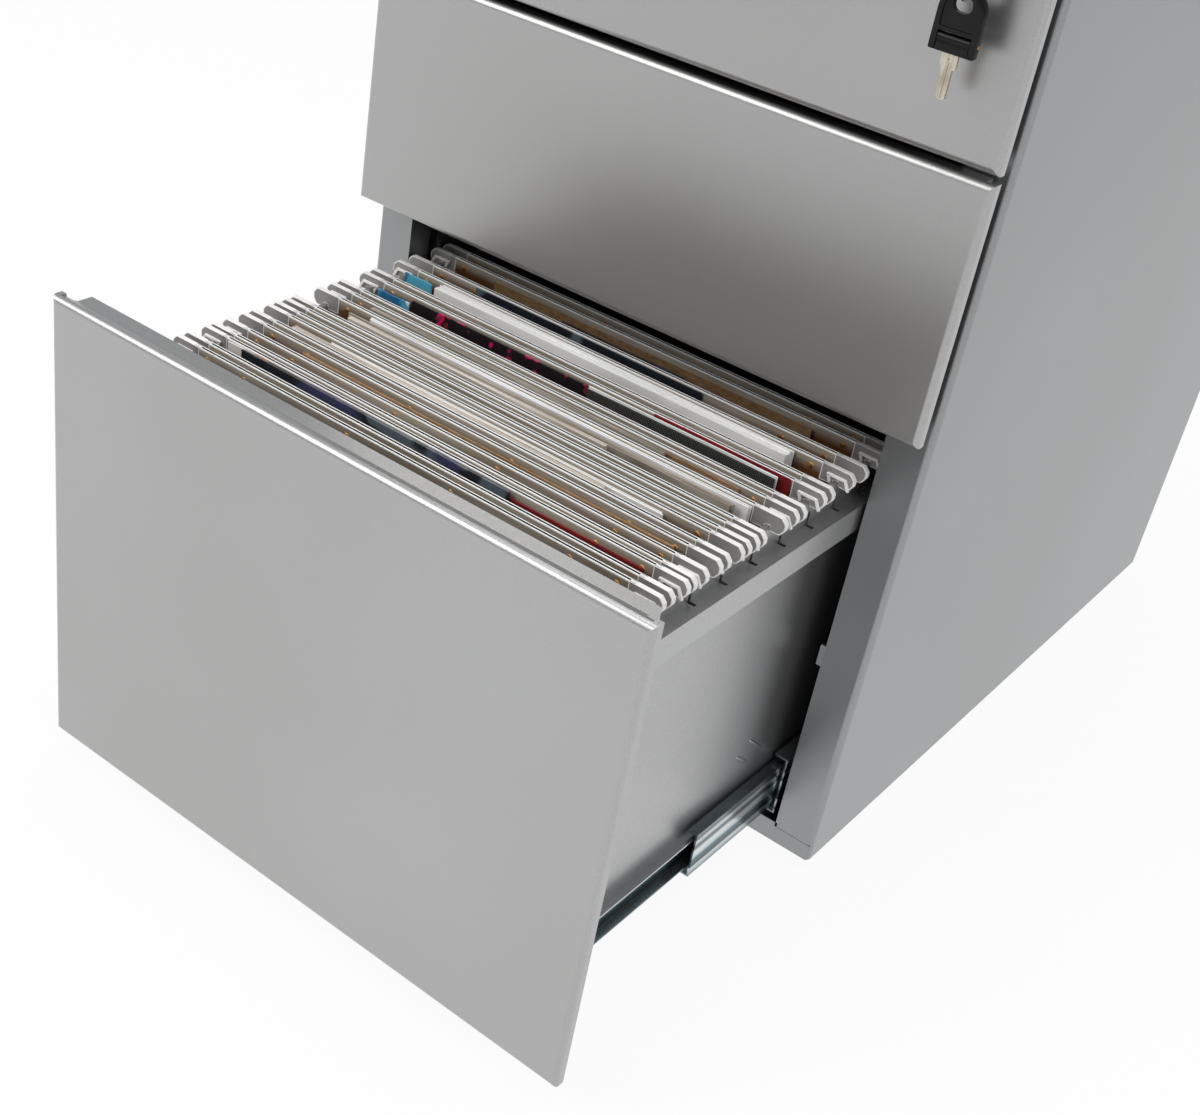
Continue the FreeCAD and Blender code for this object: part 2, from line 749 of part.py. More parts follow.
def drawer_tray(name):
    """Folded tray behind a front: side walls and floor in one, with a front wall and a rear wall welded to its ends."""
    bottom, height, _, _ = DRAWERS[name]
    floor = slide_level(name) - tray_below_slide
    front = tray_front(name)
    rear = front + tray_length
    shell = new_body(f"{name}_tray_shell")
    if name == "file":
        side = [
            (tray_half, floor), (tray_half, floor + band_bottom), (band_half, floor + band_bottom),
            (band_half, floor + ledge_height), (rail_outer, floor + ledge_height), (rail_outer, floor + rail_top),
            (rail_outer - rail_width, floor + rail_top), (rail_outer - rail_width, floor + rail_top - rail_hem),
        ]
        rear_top = floor + file_rear_wall_height
    else:
        wall_top = floor + box_tray_height
        side = [(tray_half, floor), (tray_half, wall_top), (tray_half - tray_hem, wall_top),
                (tray_half - tray_hem, wall_top - tray_hem)]
        rear_top = wall_top - tray_hem * 2
    path = [(-x, z) for x, z in reversed(side)] + side
    pad(shell, "XZ", folded(path, tray_sheet), front + tray_sheet, rear - tray_sheet)
    round_off(shell, "XZ", [(tray_half, floor), (-tray_half, floor)], tray_sheet * 2)
    if name == "file":
        round_off(shell, "XZ", [(x * s, floor + rail_top) for s in SIDES.values()
                                for x in (rail_outer, rail_outer - rail_width)], rail_round)
    cut(shell, "YZ", [], -tray_half - 1, tray_half + 1, [(place, rivet_hole) for place in inner_rivets(name)])
    if name == "file":
        cut_rail_slots(shell, front_face(name), floor + ledge_height)
    # the front wall reaches up to the underside of the grip, with a flange folded back under it
    under_grip = bottom + height - grip_dip - front_sheet
    reach = front_face(name) + grip_depth - front_sheet - seam
    near = new_body(f"{name}_tray_front_wall")
    pad(near, "YZ", folded([(front, floor), (front, under_grip), (reach, under_grip)], -tray_sheet),
        -tray_half, tray_half)
    cut(near, "XZ", [], front - 1, front + tray_sheet + 1, [(place, rivet_hole) for place in screw_places(name)])
    far = box(f"{name}_tray_rear_wall", (-tray_half, tray_half), (rear - tray_sheet, rear), (floor, rear_top))
    return group(f"{name}_drawer_tray", [shell, near, far])


def cut_rail_slots(made, face, ledge):
    """Rows of J slots that index the hanging files: up the rail from the ledge, with a foot on the ledge."""
    for s in SIDES.values():
        low, high = sorted(((rail_outer - tray_sheet - 1) * s, (rail_outer + slot_foot) * s), key=lambda v: v.number)
        start = face + slot_first
        cut(made, "XY", [rectangle(low, high, start, start + slot_width)],
            ledge - tray_sheet - 1, ledge + slot_rise)
        row = made.newObject("PartDesign::LinearPattern", made.Label + "_slots")
        row.Originals = [made_feature(made, "Pocket")]
        row.Direction = (next(f for f in made.Origin.OriginFeatures if f.Role == "Y_Axis"), [""])
        bind(row, "Length", slot_pitch * (slot_count - 1))
        row.Occurrences = slot_count
        made.Tip = row


def made_feature(body, kind):
    """The newest feature of one kind in a body."""
    return [f for f in body.Group if kind in f.TypeId][-1]


def channel(label, hand, web_out, web_in, tip, level, half, wall, front, rear):
    """A straight C section lying on its side: web between two half widths, flanges reaching to the tip."""
    s = SIDES[hand]
    made = new_body(label)
    inwards = tip.number < web_in.number
    base = web_out if inwards else web_in
    near = web_in if inwards else web_out
    outline = [
        (base, level - half), (base, level + half), (tip, level + half), (tip, level + half - wall),
        (near, level + half - wall), (near, level - half + wall), (tip, level - half + wall), (tip, level - half),
    ]
    pad(made, "XZ", [(x * s, z) for x, z in outline], front, rear)
    return made


def slide_outer(name, hand):
    """Case member of a slide, seated by two pads on the uprights."""
    s = SIDES[hand]
    level = slide_level(name)
    front = stile_face + slide_setback
    made = channel(f"{name}_slide_outer_{hand}", hand, slide_outer_face, outer_web, slide_flange_tip, level,
                   slide_outer_half, slide_wall, front, front + slide_length)
    low, high = sorted((slide_outer_face * s, upright_face * s), key=lambda v: v.number)
    places = [start + upright_width / 2 for start in upright_fronts.values()]
    for middle in places:
        pad(made, "YZ", rectangle(middle - pad_half, middle + pad_half, level - pad_half, level + pad_half), low, high)
    ends = sorted(((outer_web - 1) * s, (upright_face + 1) * s), key=lambda v: v.number)
    cut(made, "YZ", [], *ends, [((middle, level), rivet_hole) for middle in places])
    return made


def slide_middle(name, hand):
    """Intermediate member: travels half as far as the drawer."""
    front = stile_face + slide_setback + middle_setback - DRAWERS[name][2] / 2
    return channel(f"{name}_slide_middle_{hand}", hand, middle_face, middle_web, slide_flange_tip,
                   slide_level(name), middle_half, slide_wall, front, front + middle_length)


def slide_inner(name, hand):
    """Drawer member, riveted to the tray wall."""
    s = SIDES[hand]
    front = tray_front(name) + inner_setback
    made = channel(f"{name}_slide_inner_{hand}", hand, tray_half + slide_wall, tray_half, inner_tip,
                   slide_level(name), inner_half, slide_wall, front, front + inner_length)
    low, high = sorted(((tray_half - 1) * s, (tray_half + slide_wall + 1) * s), key=lambda v: v.number)
    cut(made, "YZ", [], low, high, [(place, rivet_hole) for place in inner_rivets(name)])
    return made


def ball_cages(name, row):
    """The cages of one race pair of a drawer, left and right, each with its two rows of balls."""
    bottom_travel = DRAWERS[name][2]
    if row == "outer":
        web_out, web_in = outer_web - middle_gap / 2 + cage_wall / 2, outer_web - middle_gap / 2 - cage_wall / 2
        centre = middle_half + race_gap / 2
        share = 0.25
    else:
        gap_middle = (inner_tip + middle_web) / 2
        web_out, web_in = gap_middle + cage_wall / 2, gap_middle - cage_wall / 2
        centre = inner_half + race_gap / 2
        share = 0.75
    level = slide_level(name)
    front = stile_face + cage_setback - bottom_travel * share
    tip = slide_flange_tip + 1
    line = (tip + web_in) / 2
    parts = []
    for hand, s in SIDES.items():
        made = channel(f"{name}_{row}_cage_{hand}", hand, web_out, web_in, tip, level,
                       centre + cage_wall / 2, cage_wall, front, front + cage_length)
        places = [front + cage_length / 2 + ball_pitch * (i - (ball_count - 1) / 2) for i in range(ball_count)]
        cut(made, "XY", [], level - centre - cage_wall, level + centre + cage_wall,
            [((line * s, y), ball_diameter / 2 + ball_hole_play) for y in places])
        parts.append(made)
        for y in places:
            for up in (-1, 1):
                ball = doc.addObject("Part::Sphere", f"{name}_{row}_ball")
                bind(ball, "Radius", ball_diameter / 2)
                bind(ball, "Placement.Base.x", line * s)
                bind(ball, "Placement.Base.y", y)
                bind(ball, "Placement.Base.z", level + centre * up)
                parts.append(ball)
    return group(f"{name}_slide_cages_{row}", parts)


def slide_stop(name, hand):
    """Moulded end stop clipped into the front end of a case member."""
    front = stile_face + slide_setback
    return channel(f"{name}_slide_stop_{hand}", hand, outer_web, middle_face + stop_play, slide_flange_tip + 1,
                   slide_level(name), slide_outer_half - slide_wall, race_gap - stop_play * 2,
                   front, front + stop_length)


def rivet(label, hand, place, outside, inside, head_inside):
    """Pan-headed rivet along X through the sheets between two half widths."""
    s = SIDES[hand]
    low, high = sorted((inside * s, outside * s), key=lambda v: v.number)
    shank = cylinder(label + "_shank", "x", place, rivet_radius, low, high)
    near, far = sorted((head_inside * s, inside * s), key=lambda v: v.number)
    head = cylinder(label + "_head", "x", place, rivet_head, near, far)
    return fuse(label, [shank, head])


def drawer_fixings(name):
    """Rivets of the inner slide members and screws of the front, all with their heads inside the tray."""
    parts = []
    inside = tray_half - tray_sheet
    for hand in SIDES:
        for i, place in enumerate(inner_rivets(name)):
            parts.append(rivet(f"{name}_rivet_{hand}_{i}", hand, place, tray_half + slide_wall, inside,
                               inside - rivet_head_height))
    wall = tray_front(name) + tray_sheet
    for i, (x, z) in enumerate(screw_places(name)):
        shank = cylinder(f"{name}_screw_shank_{i}", "y", (x, z), rivet_radius, wall - tray_sheet - front_sheet * 3, wall)
        head = cylinder(f"{name}_screw_head_{i}", "y", (x, z), rivet_head, wall, wall + rivet_head_height)
        parts.append(fuse(f"{name}_screw_{i}", [shank, head]))
    return group(f"{name}_drawer_fixings", parts)


def slide_fixings():
    """Rivets that hold the case members of the slides to the uprights, flush inside the member."""
    parts = []
    for name in DRAWERS:
        for hand in SIDES:
            for place, start in upright_fronts.items():
                where = (start + upright_width / 2, slide_level(name))
                inside = upright_face + case_sheet
                parts.append(rivet(f"{name}_{place}_fixing_{hand}", hand, where, outer_web, inside,
                                   inside + rivet_head_height))
    return group("slide_fixings", parts)


def drawer_catch(name):
    """Bracket on the tray wall that the lock bar's hook rises in front of."""
    low = hook_level(name) + hook_height + catch_over_hook
    face = stile_face + bar_front + bar_thickness + catch_play - DRAWERS[name][2]
    made = new_body(f"{name}_drawer_catch")
    path = [(tray_half, face + catch_depth * 3), (tray_half + tray_sheet, face + catch_depth * 3)]
    outline = [path[0], (tray_half, face), (catch_tip, face), (catch_tip, face + catch_depth),
               (tray_half + tray_sheet * 2, face + catch_depth), (tray_half + tray_sheet * 2, face + catch_depth * 3)]
    pad(made, "XY", outline, low, low + catch_height)
    return keep(made)


def lock_bar():
    """Flat bar behind the right stile with a welded hook for each drawer and a fork that the lock's pin lifts."""
    front = stile_face + bar_front
    rear = front + bar_thickness
    half = pin_radius + fork_play
    fork = (fork_level - half - fork_prong, fork_level + half + fork_prong)
    parts = [box("lock_bar_strip", (bar_inner, bar_inner + bar_width), (front, rear), (base_level + bar_bottom, fork[-1]))]
    for name in DRAWERS:
        level = hook_level(name)
        parts.append(box(f"{name}_hook", (hook_tip, bar_inner), (front, rear), (level, level + hook_height)))
    plate = new_body("lock_bar_fork")
    root = bar_inner - fork_prong
    pad(plate, "XZ", [(bar_inner, fork[0]), (bar_inner, fork[-1]), (fork_tip, fork[-1]), (fork_tip, fork_level + half),
                      (root, fork_level + half), (root, fork_level - half), (fork_tip, fork_level - half),
                      (fork_tip, fork[0])], front, rear)
    parts.append(plate)
    return group("lock_bar", parts)


def bar_guides():
    """Moulded guides behind the right stile in which the lock bar slides."""
    parts = []
    front = stile_face + case_sheet
    inner = bar_inner - slide_play
    outer = bar_inner + bar_width + slide_play
    rear = stile_face + bar_front + bar_thickness + slide_play
    lowest = hook_level("file") + hook_height * 3
    for i, level in enumerate((lowest, hook_level("middle") - hook_height * 4, hook_level("top") - hook_height * 4)):
        made = new_body(f"bar_guide_{i}")
        low, high = level, level + guide_height
        pad(made, "XY", rectangle(inner - guide_wall / 3, outer + guide_wall, front, rear + guide_wall), low, high)
        cut(made, "XY", [rectangle(inner, outer, stile_face + bar_front - slide_play, rear)], low - 1, high + 1)
        parts.append(made)
    return group("lock_bar_guides", parts)


def lock_parts():
    """Housing, nut and turning barrel of the lock in the top front."""
    face = front_face("top")
    place = (lock_offset, lock_level)
    rear = face + housing_length
    body = cylinder("lock_body", "y", place, housing_radius, face - housing_flange_depth, rear)
    flange = cylinder("lock_flange", "y", place, housing_flange, face - housing_flange_depth, face)
    bore = cylinder("lock_bore", "y", place, barrel_radius + barrel_play, face - housing_flange_depth - 1, rear + 1)
    keep(minus("lock_housing", fuse("lock_case", [body, flange]), bore))
    nut_front = face + front_sheet
    ring = cylinder("lock_nut_ring", "y", place, lock_nut_radius, nut_front, nut_front + lock_nut_depth)
    hole = cylinder("lock_nut_hole", "y", place, housing_radius + hole_play, nut_front - 1,
                    nut_front + lock_nut_depth + 1)
    keep(minus("lock_nut", ring, hole))
    barrel = cylinder("barrel_plug", "y", place, barrel_radius, face - housing_flange_depth - slide_play,
                      rear + slide_play + cam_depth / 2)
    cam = cylinder("barrel_cam", "y", place, cam_radius, rear + slide_play, rear + slide_play + cam_depth)
    lift = pin_offset * SINE_45
    pin = cylinder("barrel_pin", "y", (lock_offset - lift, lock_level - lift), pin_radius,
                   rear + slide_play + cam_depth / 2, rear + slide_play + cam_depth + pin_reach)
    across, tall = key_blade_width / 2 + key_play, key_blade_thickness / 2 + key_play
    keyway = box("keyway", (lock_offset - across, lock_offset + across),
                 (face - housing_flange_depth - 2, face + key_in_lock), (lock_level - tall, lock_level + tall))
    keep(minus("lock_barrel", fuse("barrel_whole", [barrel, cam, pin]), keyway))


def key_bow(label, across, along, axis_level, up):
    """Moulded arch with an oblong hole and a notch between two cheeks, which a hinge pin crosses."""
    made = new_body(label + "_arch")
    half = bow_width / 2
    tip, foot = (axis_level + bow_length * up, axis_level - head_foot * up)
    low, high = along - bow_thickness / 2, along + bow_thickness / 2
    pad(made, "XZ", rectangle(across - half, across + half, foot, tip), low, high)
    round_off(made, "XZ", [(across - half, tip), (across + half, tip)], bow_corner)
    hole_far, hole_near = tip - bow_bridge * up, tip - (bow_bridge + bow_hole_height) * up
    notch = head_width / 2 + key_play
    notch_top = axis_level + (head_radius + head_gap) * up
    cut(made, "XZ", [rectangle(across - bow_hole_width / 2, across + bow_hole_width / 2, hole_near, hole_far),
                     rectangle(across - notch, across + notch, foot - up, notch_top)], low - 1, high + 1)
    round_off(made, "XZ", [(across + bow_hole_width / 2 * s, level) for s in SIDES.values()
                           for level in (hole_near, hole_far)], bow_hole_corner)
    reach = half - key_play
    pin = cylinder(label + "_pin", "x", (along, axis_level), bow_pin_radius, across - reach, across + reach)
    return keep(fuse(label, [made, pin]))


# The blade's outline from head to tip: shares of its half width and of its length below the pin
BLADE_EDGE = [
    (-1, 0.2), (-1, 0.4), (-0.8, 0.46), (-0.75, 0.55), (-0.45, 0.63), (-0.78, 0.7), (-0.82, 0.79), (-0.55, 0.85),
    (-0.55, 0.92), (-0.2, 1), (0.3, 1), (0.6, 0.96), (0.6, 0.47), (0.95, 0.45), (0.95, 0.2),
]


def key_blade(label, across, along, axis_level, direction):
    """Toothed flat blade with a moulded head that turns on the bow's pin; it points along +y or down."""
    half = key_blade_thickness / 2
    wide = head_width / 2
    thick = bow_thickness / 2
    made = new_body(label + "_shank")
    outline = [(share * key_blade_width / 2, reach * key_blade_length) for share, reach in BLADE_EDGE]
    if direction == "y":
        pad(made, "XY", [(across + a, along + b) for a, b in outline], axis_level - half, axis_level + half)
        block = box(label + "_block", (across - wide, across + wide), (along, along + head_foot),
                    (axis_level - thick, axis_level + thick))
    else:
        pad(made, "XZ", [(across + a, axis_level - b) for a, b in outline], along - half, along + half)
        block = box(label + "_block", (across - wide, across + wide), (along - thick, along + thick),
                    (axis_level - head_foot, axis_level))
    knuckle = cylinder(label + "_knuckle", "x", (along, axis_level), head_radius, across - wide, across + wide)
    hole = cylinder(label + "_hole", "x", (along, axis_level), bow_pin_radius + thread_clearance,
                    across - wide - 1, across + wide + 1)
    return keep(minus(label, fuse(label + "_whole", [block, knuckle, made]), hole))


def keys():
    """The key in the lock with its bow folded down, a ring through that bow, and the spare key on the ring."""
    along = front_face("top") - key_reach
    key_blade("main_key_blade", lock_offset, along, lock_level, "y")
    key_bow("main_key_bow", lock_offset, along, lock_level, -1)
    hang = bow_length - bow_bridge - ring_play - ring_wire
    wire_top = lock_level - hang
    ring = doc.addObject("Part::Torus", "key_ring")
    ring.Label = "key_ring"
    bind(ring, "Radius1", ring_radius)
    bind(ring, "Radius2", ring_wire)
    ring.Placement = FreeCAD.Placement(FreeCAD.Vector(), TURNS["x"])
    bind(ring, "Placement.Base.x", lock_offset)
    bind(ring, "Placement.Base.y", along)
    bind(ring, "Placement.Base.z", wire_top - ring_radius)
    keep(ring)
    spare_axis = wire_top - ring_radius * 2 - hang
    key_bow("spare_key_bow", lock_offset, along, spare_axis, 1)
    key_blade("spare_key_blade", lock_offset, along, spare_axis, "z")


# Where the two bars of each hanging file stand, behind the file drawer's face
FILE_BARS = [
    (64.5, 72.5), (86.5, 92.5), (103.5, 116.5), (124.5, 137.5), (144.5, 152.5),
    (159.5, 181.5), (193.5, 201.5), (223.5, 232.5), (256.5, 271.5), (294.5, 306.5),
]
file_places = [(size(f"file_{i}_front_bar", front), size(f"file_{i}_rear_bar", rear))
               for i, (front, rear) in enumerate(FILE_BARS, 1)]
doc.recompute()


def hanging_files():
    """Ten suspension files on the rails: folded pockets, bars, end hooks, link clips and the papers they hold."""
    face = front_face("file")
    tray_floor = slide_level("file") - tray_below_slide
    top = tray_floor + bar_top_height
    under = top - bar_face_height
    half = bar_face_thickness / 2
    pockets, bars, hooks, clips, papers = [], [], [], [], []
    for i, (front, rear) in enumerate(file_places, 1):
        front, rear = face + front, face + rear
        centre = (front + rear) / 2
        foot = pocket_foot / 2
        low = tray_floor + pocket_bottom
        made = new_body(f"file_pocket_{i}")
        skin = pocket_sheet / 2
        outline = [
            (front - skin, under), (centre - foot, low), (centre + foot, low), (rear + skin, under),
            (rear - skin, under), (centre + foot - pocket_sheet, low + pocket_sheet),
            (centre - foot + pocket_sheet, low + pocket_sheet), (front + skin, under),
        ]
        pad(made, "YZ", outline, -pocket_half, pocket_half)
        pockets.append(made)
        spread = (rear - front) / 2 - pocket_sheet * 3
        base = foot - pocket_sheet * 2
        paper_top = top - paper_drop
        made = new_body(f"file_papers_{i}")
        pad(made, "YZ", [
            (centre - base, low + pocket_sheet * 2), (centre + base, low + pocket_sheet * 2),
            (centre + spread * 0.7, paper_top), (centre - spread * 0.7, paper_top),
        ], -paper_half, paper_half)
        papers.append(made)
        for j, y in enumerate((front, rear)):
            bars.append(file_bar(f"file_bar_{i}_{j}", y, under, top))
            for hand in SIDES:
                hooks.append(end_hook(f"file_hook_{i}_{j}_{hand}", hand, y, top, tray_floor))
    before = face + grip_depth
    for i, (front, rear) in enumerate(file_places, 1):
        for hand in SIDES:
            clips.append(link_clip(f"link_clip_{i}_{hand}", hand, before, face + front, top))
        before = face + rear + cap_thickness / 2
    group("suspension_file_pockets", pockets)
    group("suspension_file_bars", bars)
    group("suspension_file_hooks", hooks)
    group("file_link_clips", clips)
    group("filed_papers", papers)


def smaller(a, b):
    """The smaller of two sizes, also in the sheet's expressions."""
    return Size(min(a.number, b.number), f"min({a.text}; {b.text})")


def file_bar(label, along, under, top):
    """A file's top bar, grooved along its upper edge."""
    made = new_body(label)
    half, groove = bar_face_thickness / 2, bar_groove / 2
    pad(made, "YZ", [
        (along - half, under), (along + half, under), (along + half, top), (along + groove, top),
        (along + groove, top - bar_groove_depth), (along - groove, top - bar_groove_depth), (along - groove, top),
        (along - half, top),
    ], -bar_half_length, bar_half_length)
    return made


def link_clip(label, hand, before, front_bar, top):
    """Staple on the front of a file's end hook, with two legs that reach for the file before it."""
    s = SIDES[hand]
    seat = front_bar - cap_thickness / 2
    rod = seat - clip_rod
    leg = rod - smaller(clip_leg, rod - before - seam)
    far = clip_end - clip_length
    legs = [far + clip_margin, far + clip_margin + clip_rod, clip_end - clip_margin - clip_rod, clip_end - clip_margin]
    outline = [(far, seat), (far, rod), (legs[0], rod), (legs[0], leg), (legs[1], leg), (legs[1], rod),
               (legs[2], rod), (legs[2], leg), (legs[3], leg), (legs[3], rod), (clip_end, rod), (clip_end, seat)]
    made = new_body(label)
    pad(made, "XY", [(x * s, y) for x, y in outline], top - clip_drop - clip_rod, top - clip_drop)
    return made


def end_hook(label, hand, along, top, tray_floor):
    """Moulded end of a file bar that rides over the rail."""
    s = SIDES[hand]
    made = new_body(label)
    rail_in = rail_outer - rail_width - rail_play
    rail_out = rail_outer + rail_play
    seat = tray_floor + rail_top + rail_play
    under = top - bar_face_height
    outline = [
        (bar_half_length, under), (rail_in, under), (rail_in, seat), (rail_out, seat), (rail_out, under - cap_drop),
        (cap_half_length, under - cap_drop), (cap_half_length, top), (bar_half_length, top),
    ]
    pad(made, "XZ", [(x * s, z) for x, z in outline], along - cap_thickness / 2, along + cap_thickness / 2)
    round_off(made, "XZ", [(cap_half_length * s, top), (cap_half_length * s, under - cap_drop)], cap_round)
    return made


def build_case():
    for hand in SIDES:
        side_panel(hand)
    base_pan()
    keep(flat_tray("top_panel", base_level + case_height - upstand, base_level + case_height, plate_height, False))
    back_panel()
    for place in upright_fronts:
        group(f"{place}_uprights", [upright(place, hand) for hand in SIDES])
    group("glide_nuts", [glide_nut(i, place) for i, place in enumerate(glide_places(), 1)])
    names = ("left_front", "left_rear", "right_front", "right_rear")
    for name, place in zip(names, glide_places()):
        levelling_glide(f"levelling_glide_{name}", place)
    slide_fixings()


def build_slides():
    for name in DRAWERS:
        for kind, maker in (("outer", slide_outer), ("middle", slide_middle), ("inner", slide_inner)):
            pair = [maker(name, hand) for hand in SIDES]
            if name == "file":
                for member in pair:
                    keep(member)
            else:
                group(f"{name}_slide_{kind}_pair", pair)
        ball_cages(name, "outer")
        ball_cages(name, "inner")
    group("slide_front_stops", [slide_stop(name, hand) for name in DRAWERS for hand in SIDES])


def build_drawers():
    for name in DRAWERS:
        drawer_front(name)
        drawer_tray(name)
        drawer_fixings(name)
        drawer_catch(name)


def check_and_write():
    """Recomputes, refuses any failed object and writes each sub-part to its file."""
    doc.recompute()
    for thing in doc.Objects:
        if any(word in thing.State for word in ("Invalid", "Error")):
            raise RuntimeError(f"{thing.Label} failed: {thing.State}")
    os.makedirs("parts", exist_ok=True)
    for piece in pieces:
        shape = piece.Shape
        if shape.isNull() or not shape.isValid() or not shape.Solids:
            raise RuntimeError(f"{piece.Label} has no valid solid")
        shape.exportStep(f"parts/{piece.Label}.step")
    print(len(pieces), "sub-parts,", sum(len(piece.Shape.Solids) for piece in pieces), "solids")


build_case()
build_slides()
build_drawers()
lock_bar()
bar_guides()
lock_parts()
keys()
hanging_files()
check_and_write()
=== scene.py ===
"""Looks of a steel filing drawer unit: three pressed fronts, suspension files on rails and a hinged key."""
import math

import bmesh
import bpy
import numpy as np
from mathutils import Matrix, Vector


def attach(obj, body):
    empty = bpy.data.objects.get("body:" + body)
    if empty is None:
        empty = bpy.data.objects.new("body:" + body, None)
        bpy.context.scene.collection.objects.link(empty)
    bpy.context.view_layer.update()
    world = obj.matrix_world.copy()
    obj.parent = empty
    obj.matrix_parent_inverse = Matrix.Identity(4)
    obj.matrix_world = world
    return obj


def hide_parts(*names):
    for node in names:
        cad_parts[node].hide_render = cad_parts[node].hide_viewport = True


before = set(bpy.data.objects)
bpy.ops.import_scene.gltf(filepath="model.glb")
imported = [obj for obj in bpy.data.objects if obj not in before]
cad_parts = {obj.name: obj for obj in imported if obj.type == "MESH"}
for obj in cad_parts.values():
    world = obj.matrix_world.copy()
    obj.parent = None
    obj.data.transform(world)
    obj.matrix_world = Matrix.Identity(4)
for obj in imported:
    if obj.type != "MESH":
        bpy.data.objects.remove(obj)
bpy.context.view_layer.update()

MM = 0.001

# Where the drawn pieces sit, in mm, as in the CAD model
STILE = -145.75
FILE_FACE = STILE - 23.5 - 250
FLOOR_OF_TRAY, SHEET_FOOT = 30, 64
TRAY_SIDE = 164.0
BAR_TOP, BAR_TALL, BAR_HALF = 295.0, 15.0, 160.0
RAIL_TOP, RAIL_OUT, RAIL_WIDE = 287.0, 169.0, 4.0
HOOK_HALF, HOOK_THICK = 178.0, 3.6
BARS_BEHIND_FACE = [(64.5, 72.5), (86.5, 92.5), (103.5, 116.5), (124.5, 137.5), (144.5, 152.5),
                    (159.5, 181.5), (193.5, 201.5), (223.5, 232.5), (256.5, 271.5), (294.5, 306.5)]
FILE_BARS = [(FILE_FACE + front, FILE_FACE + rear) for front, rear in BARS_BEHIND_FACE]
KEY_X, KEY_Y, LOCK_Z, SPARE_Z, WIRE_TOP, RING_RADIUS, RING_WIRE = 175.6, -185.75, 604.5, 546.5, 585.2, 9.7, 0.8
# The folding keys, in mm: half widths, lengths from the hinge's axis, and half thickness
BOW_HALF, BOW_FOOT, BOW_TIP, BOW_THICK, BOW_RADIUS = 12.45, 6.3, 25.8, 2.5, 12.2
HEAD_HALF, BLADE_HALF, BLADE_LENGTH, BLADE_THICK, PIN_RADIUS, PIN_HALF = 8.9, 4.6, 29.2, 1.0, 0.95, 12.7


# Camera
def photo_camera():
    """The photograph's camera, fitted to the straight edges of the case and the drawer fronts."""
    azimuth, elevation, roll = (math.radians(v) for v in (33.377, 33.219, 9.569))
    back = np.array([math.sin(azimuth) * math.cos(elevation), -math.cos(azimuth) * math.cos(elevation),
                     math.sin(elevation)])
    right = np.array([math.cos(azimuth), math.sin(azimuth), 0])
    up = np.cross(back, right)
    across = right * math.cos(roll) + up * math.sin(roll)
    upward = up * math.cos(roll) - right * math.sin(roll)
    data = bpy.data.cameras.new("photo_camera")
    data.sensor_width, data.lens = 36, 52.536
    data.shift_x, data.shift_y = 0.05695, 0.02743
    data.clip_start, data.clip_end = 0.05, 30
    camera = bpy.data.objects.new("photo_camera", data)
    camera.matrix_world = Matrix([[across[i], upward[i], back[i], (0.52194, -0.99729, 0.76198)[i]]
                                  for i in range(3)] + [[0, 0, 0, 1]])
    bpy.context.scene.collection.objects.link(camera)
    bpy.context.scene.camera = camera


photo_camera()


# Finishes
class Value:
    """A socket of a finish's nodes; arithmetic on it adds the Math nodes that work it out."""

    def __init__(self, finish, socket):
        self.finish, self.socket = finish, socket

    def __add__(self, other):
        return self.finish.math("ADD", self, other)

    def __radd__(self, other):
        return self.finish.math("ADD", other, self)

    def __sub__(self, other):
        return self.finish.math("SUBTRACT", self, other)

    def __rsub__(self, other):
        return self.finish.math("SUBTRACT", other, self)

    def __mul__(self, other):
        return self.finish.math("MULTIPLY", self, other)

    def __rmul__(self, other):
        return self.finish.math("MULTIPLY", other, self)

    def __abs__(self):
        return self.finish.math("ABSOLUTE", self, 0.0)

    def __gt__(self, other):
        return self.finish.math("GREATER_THAN", self, other)

    def __lt__(self, other):
        return self.finish.math("LESS_THAN", self, other)


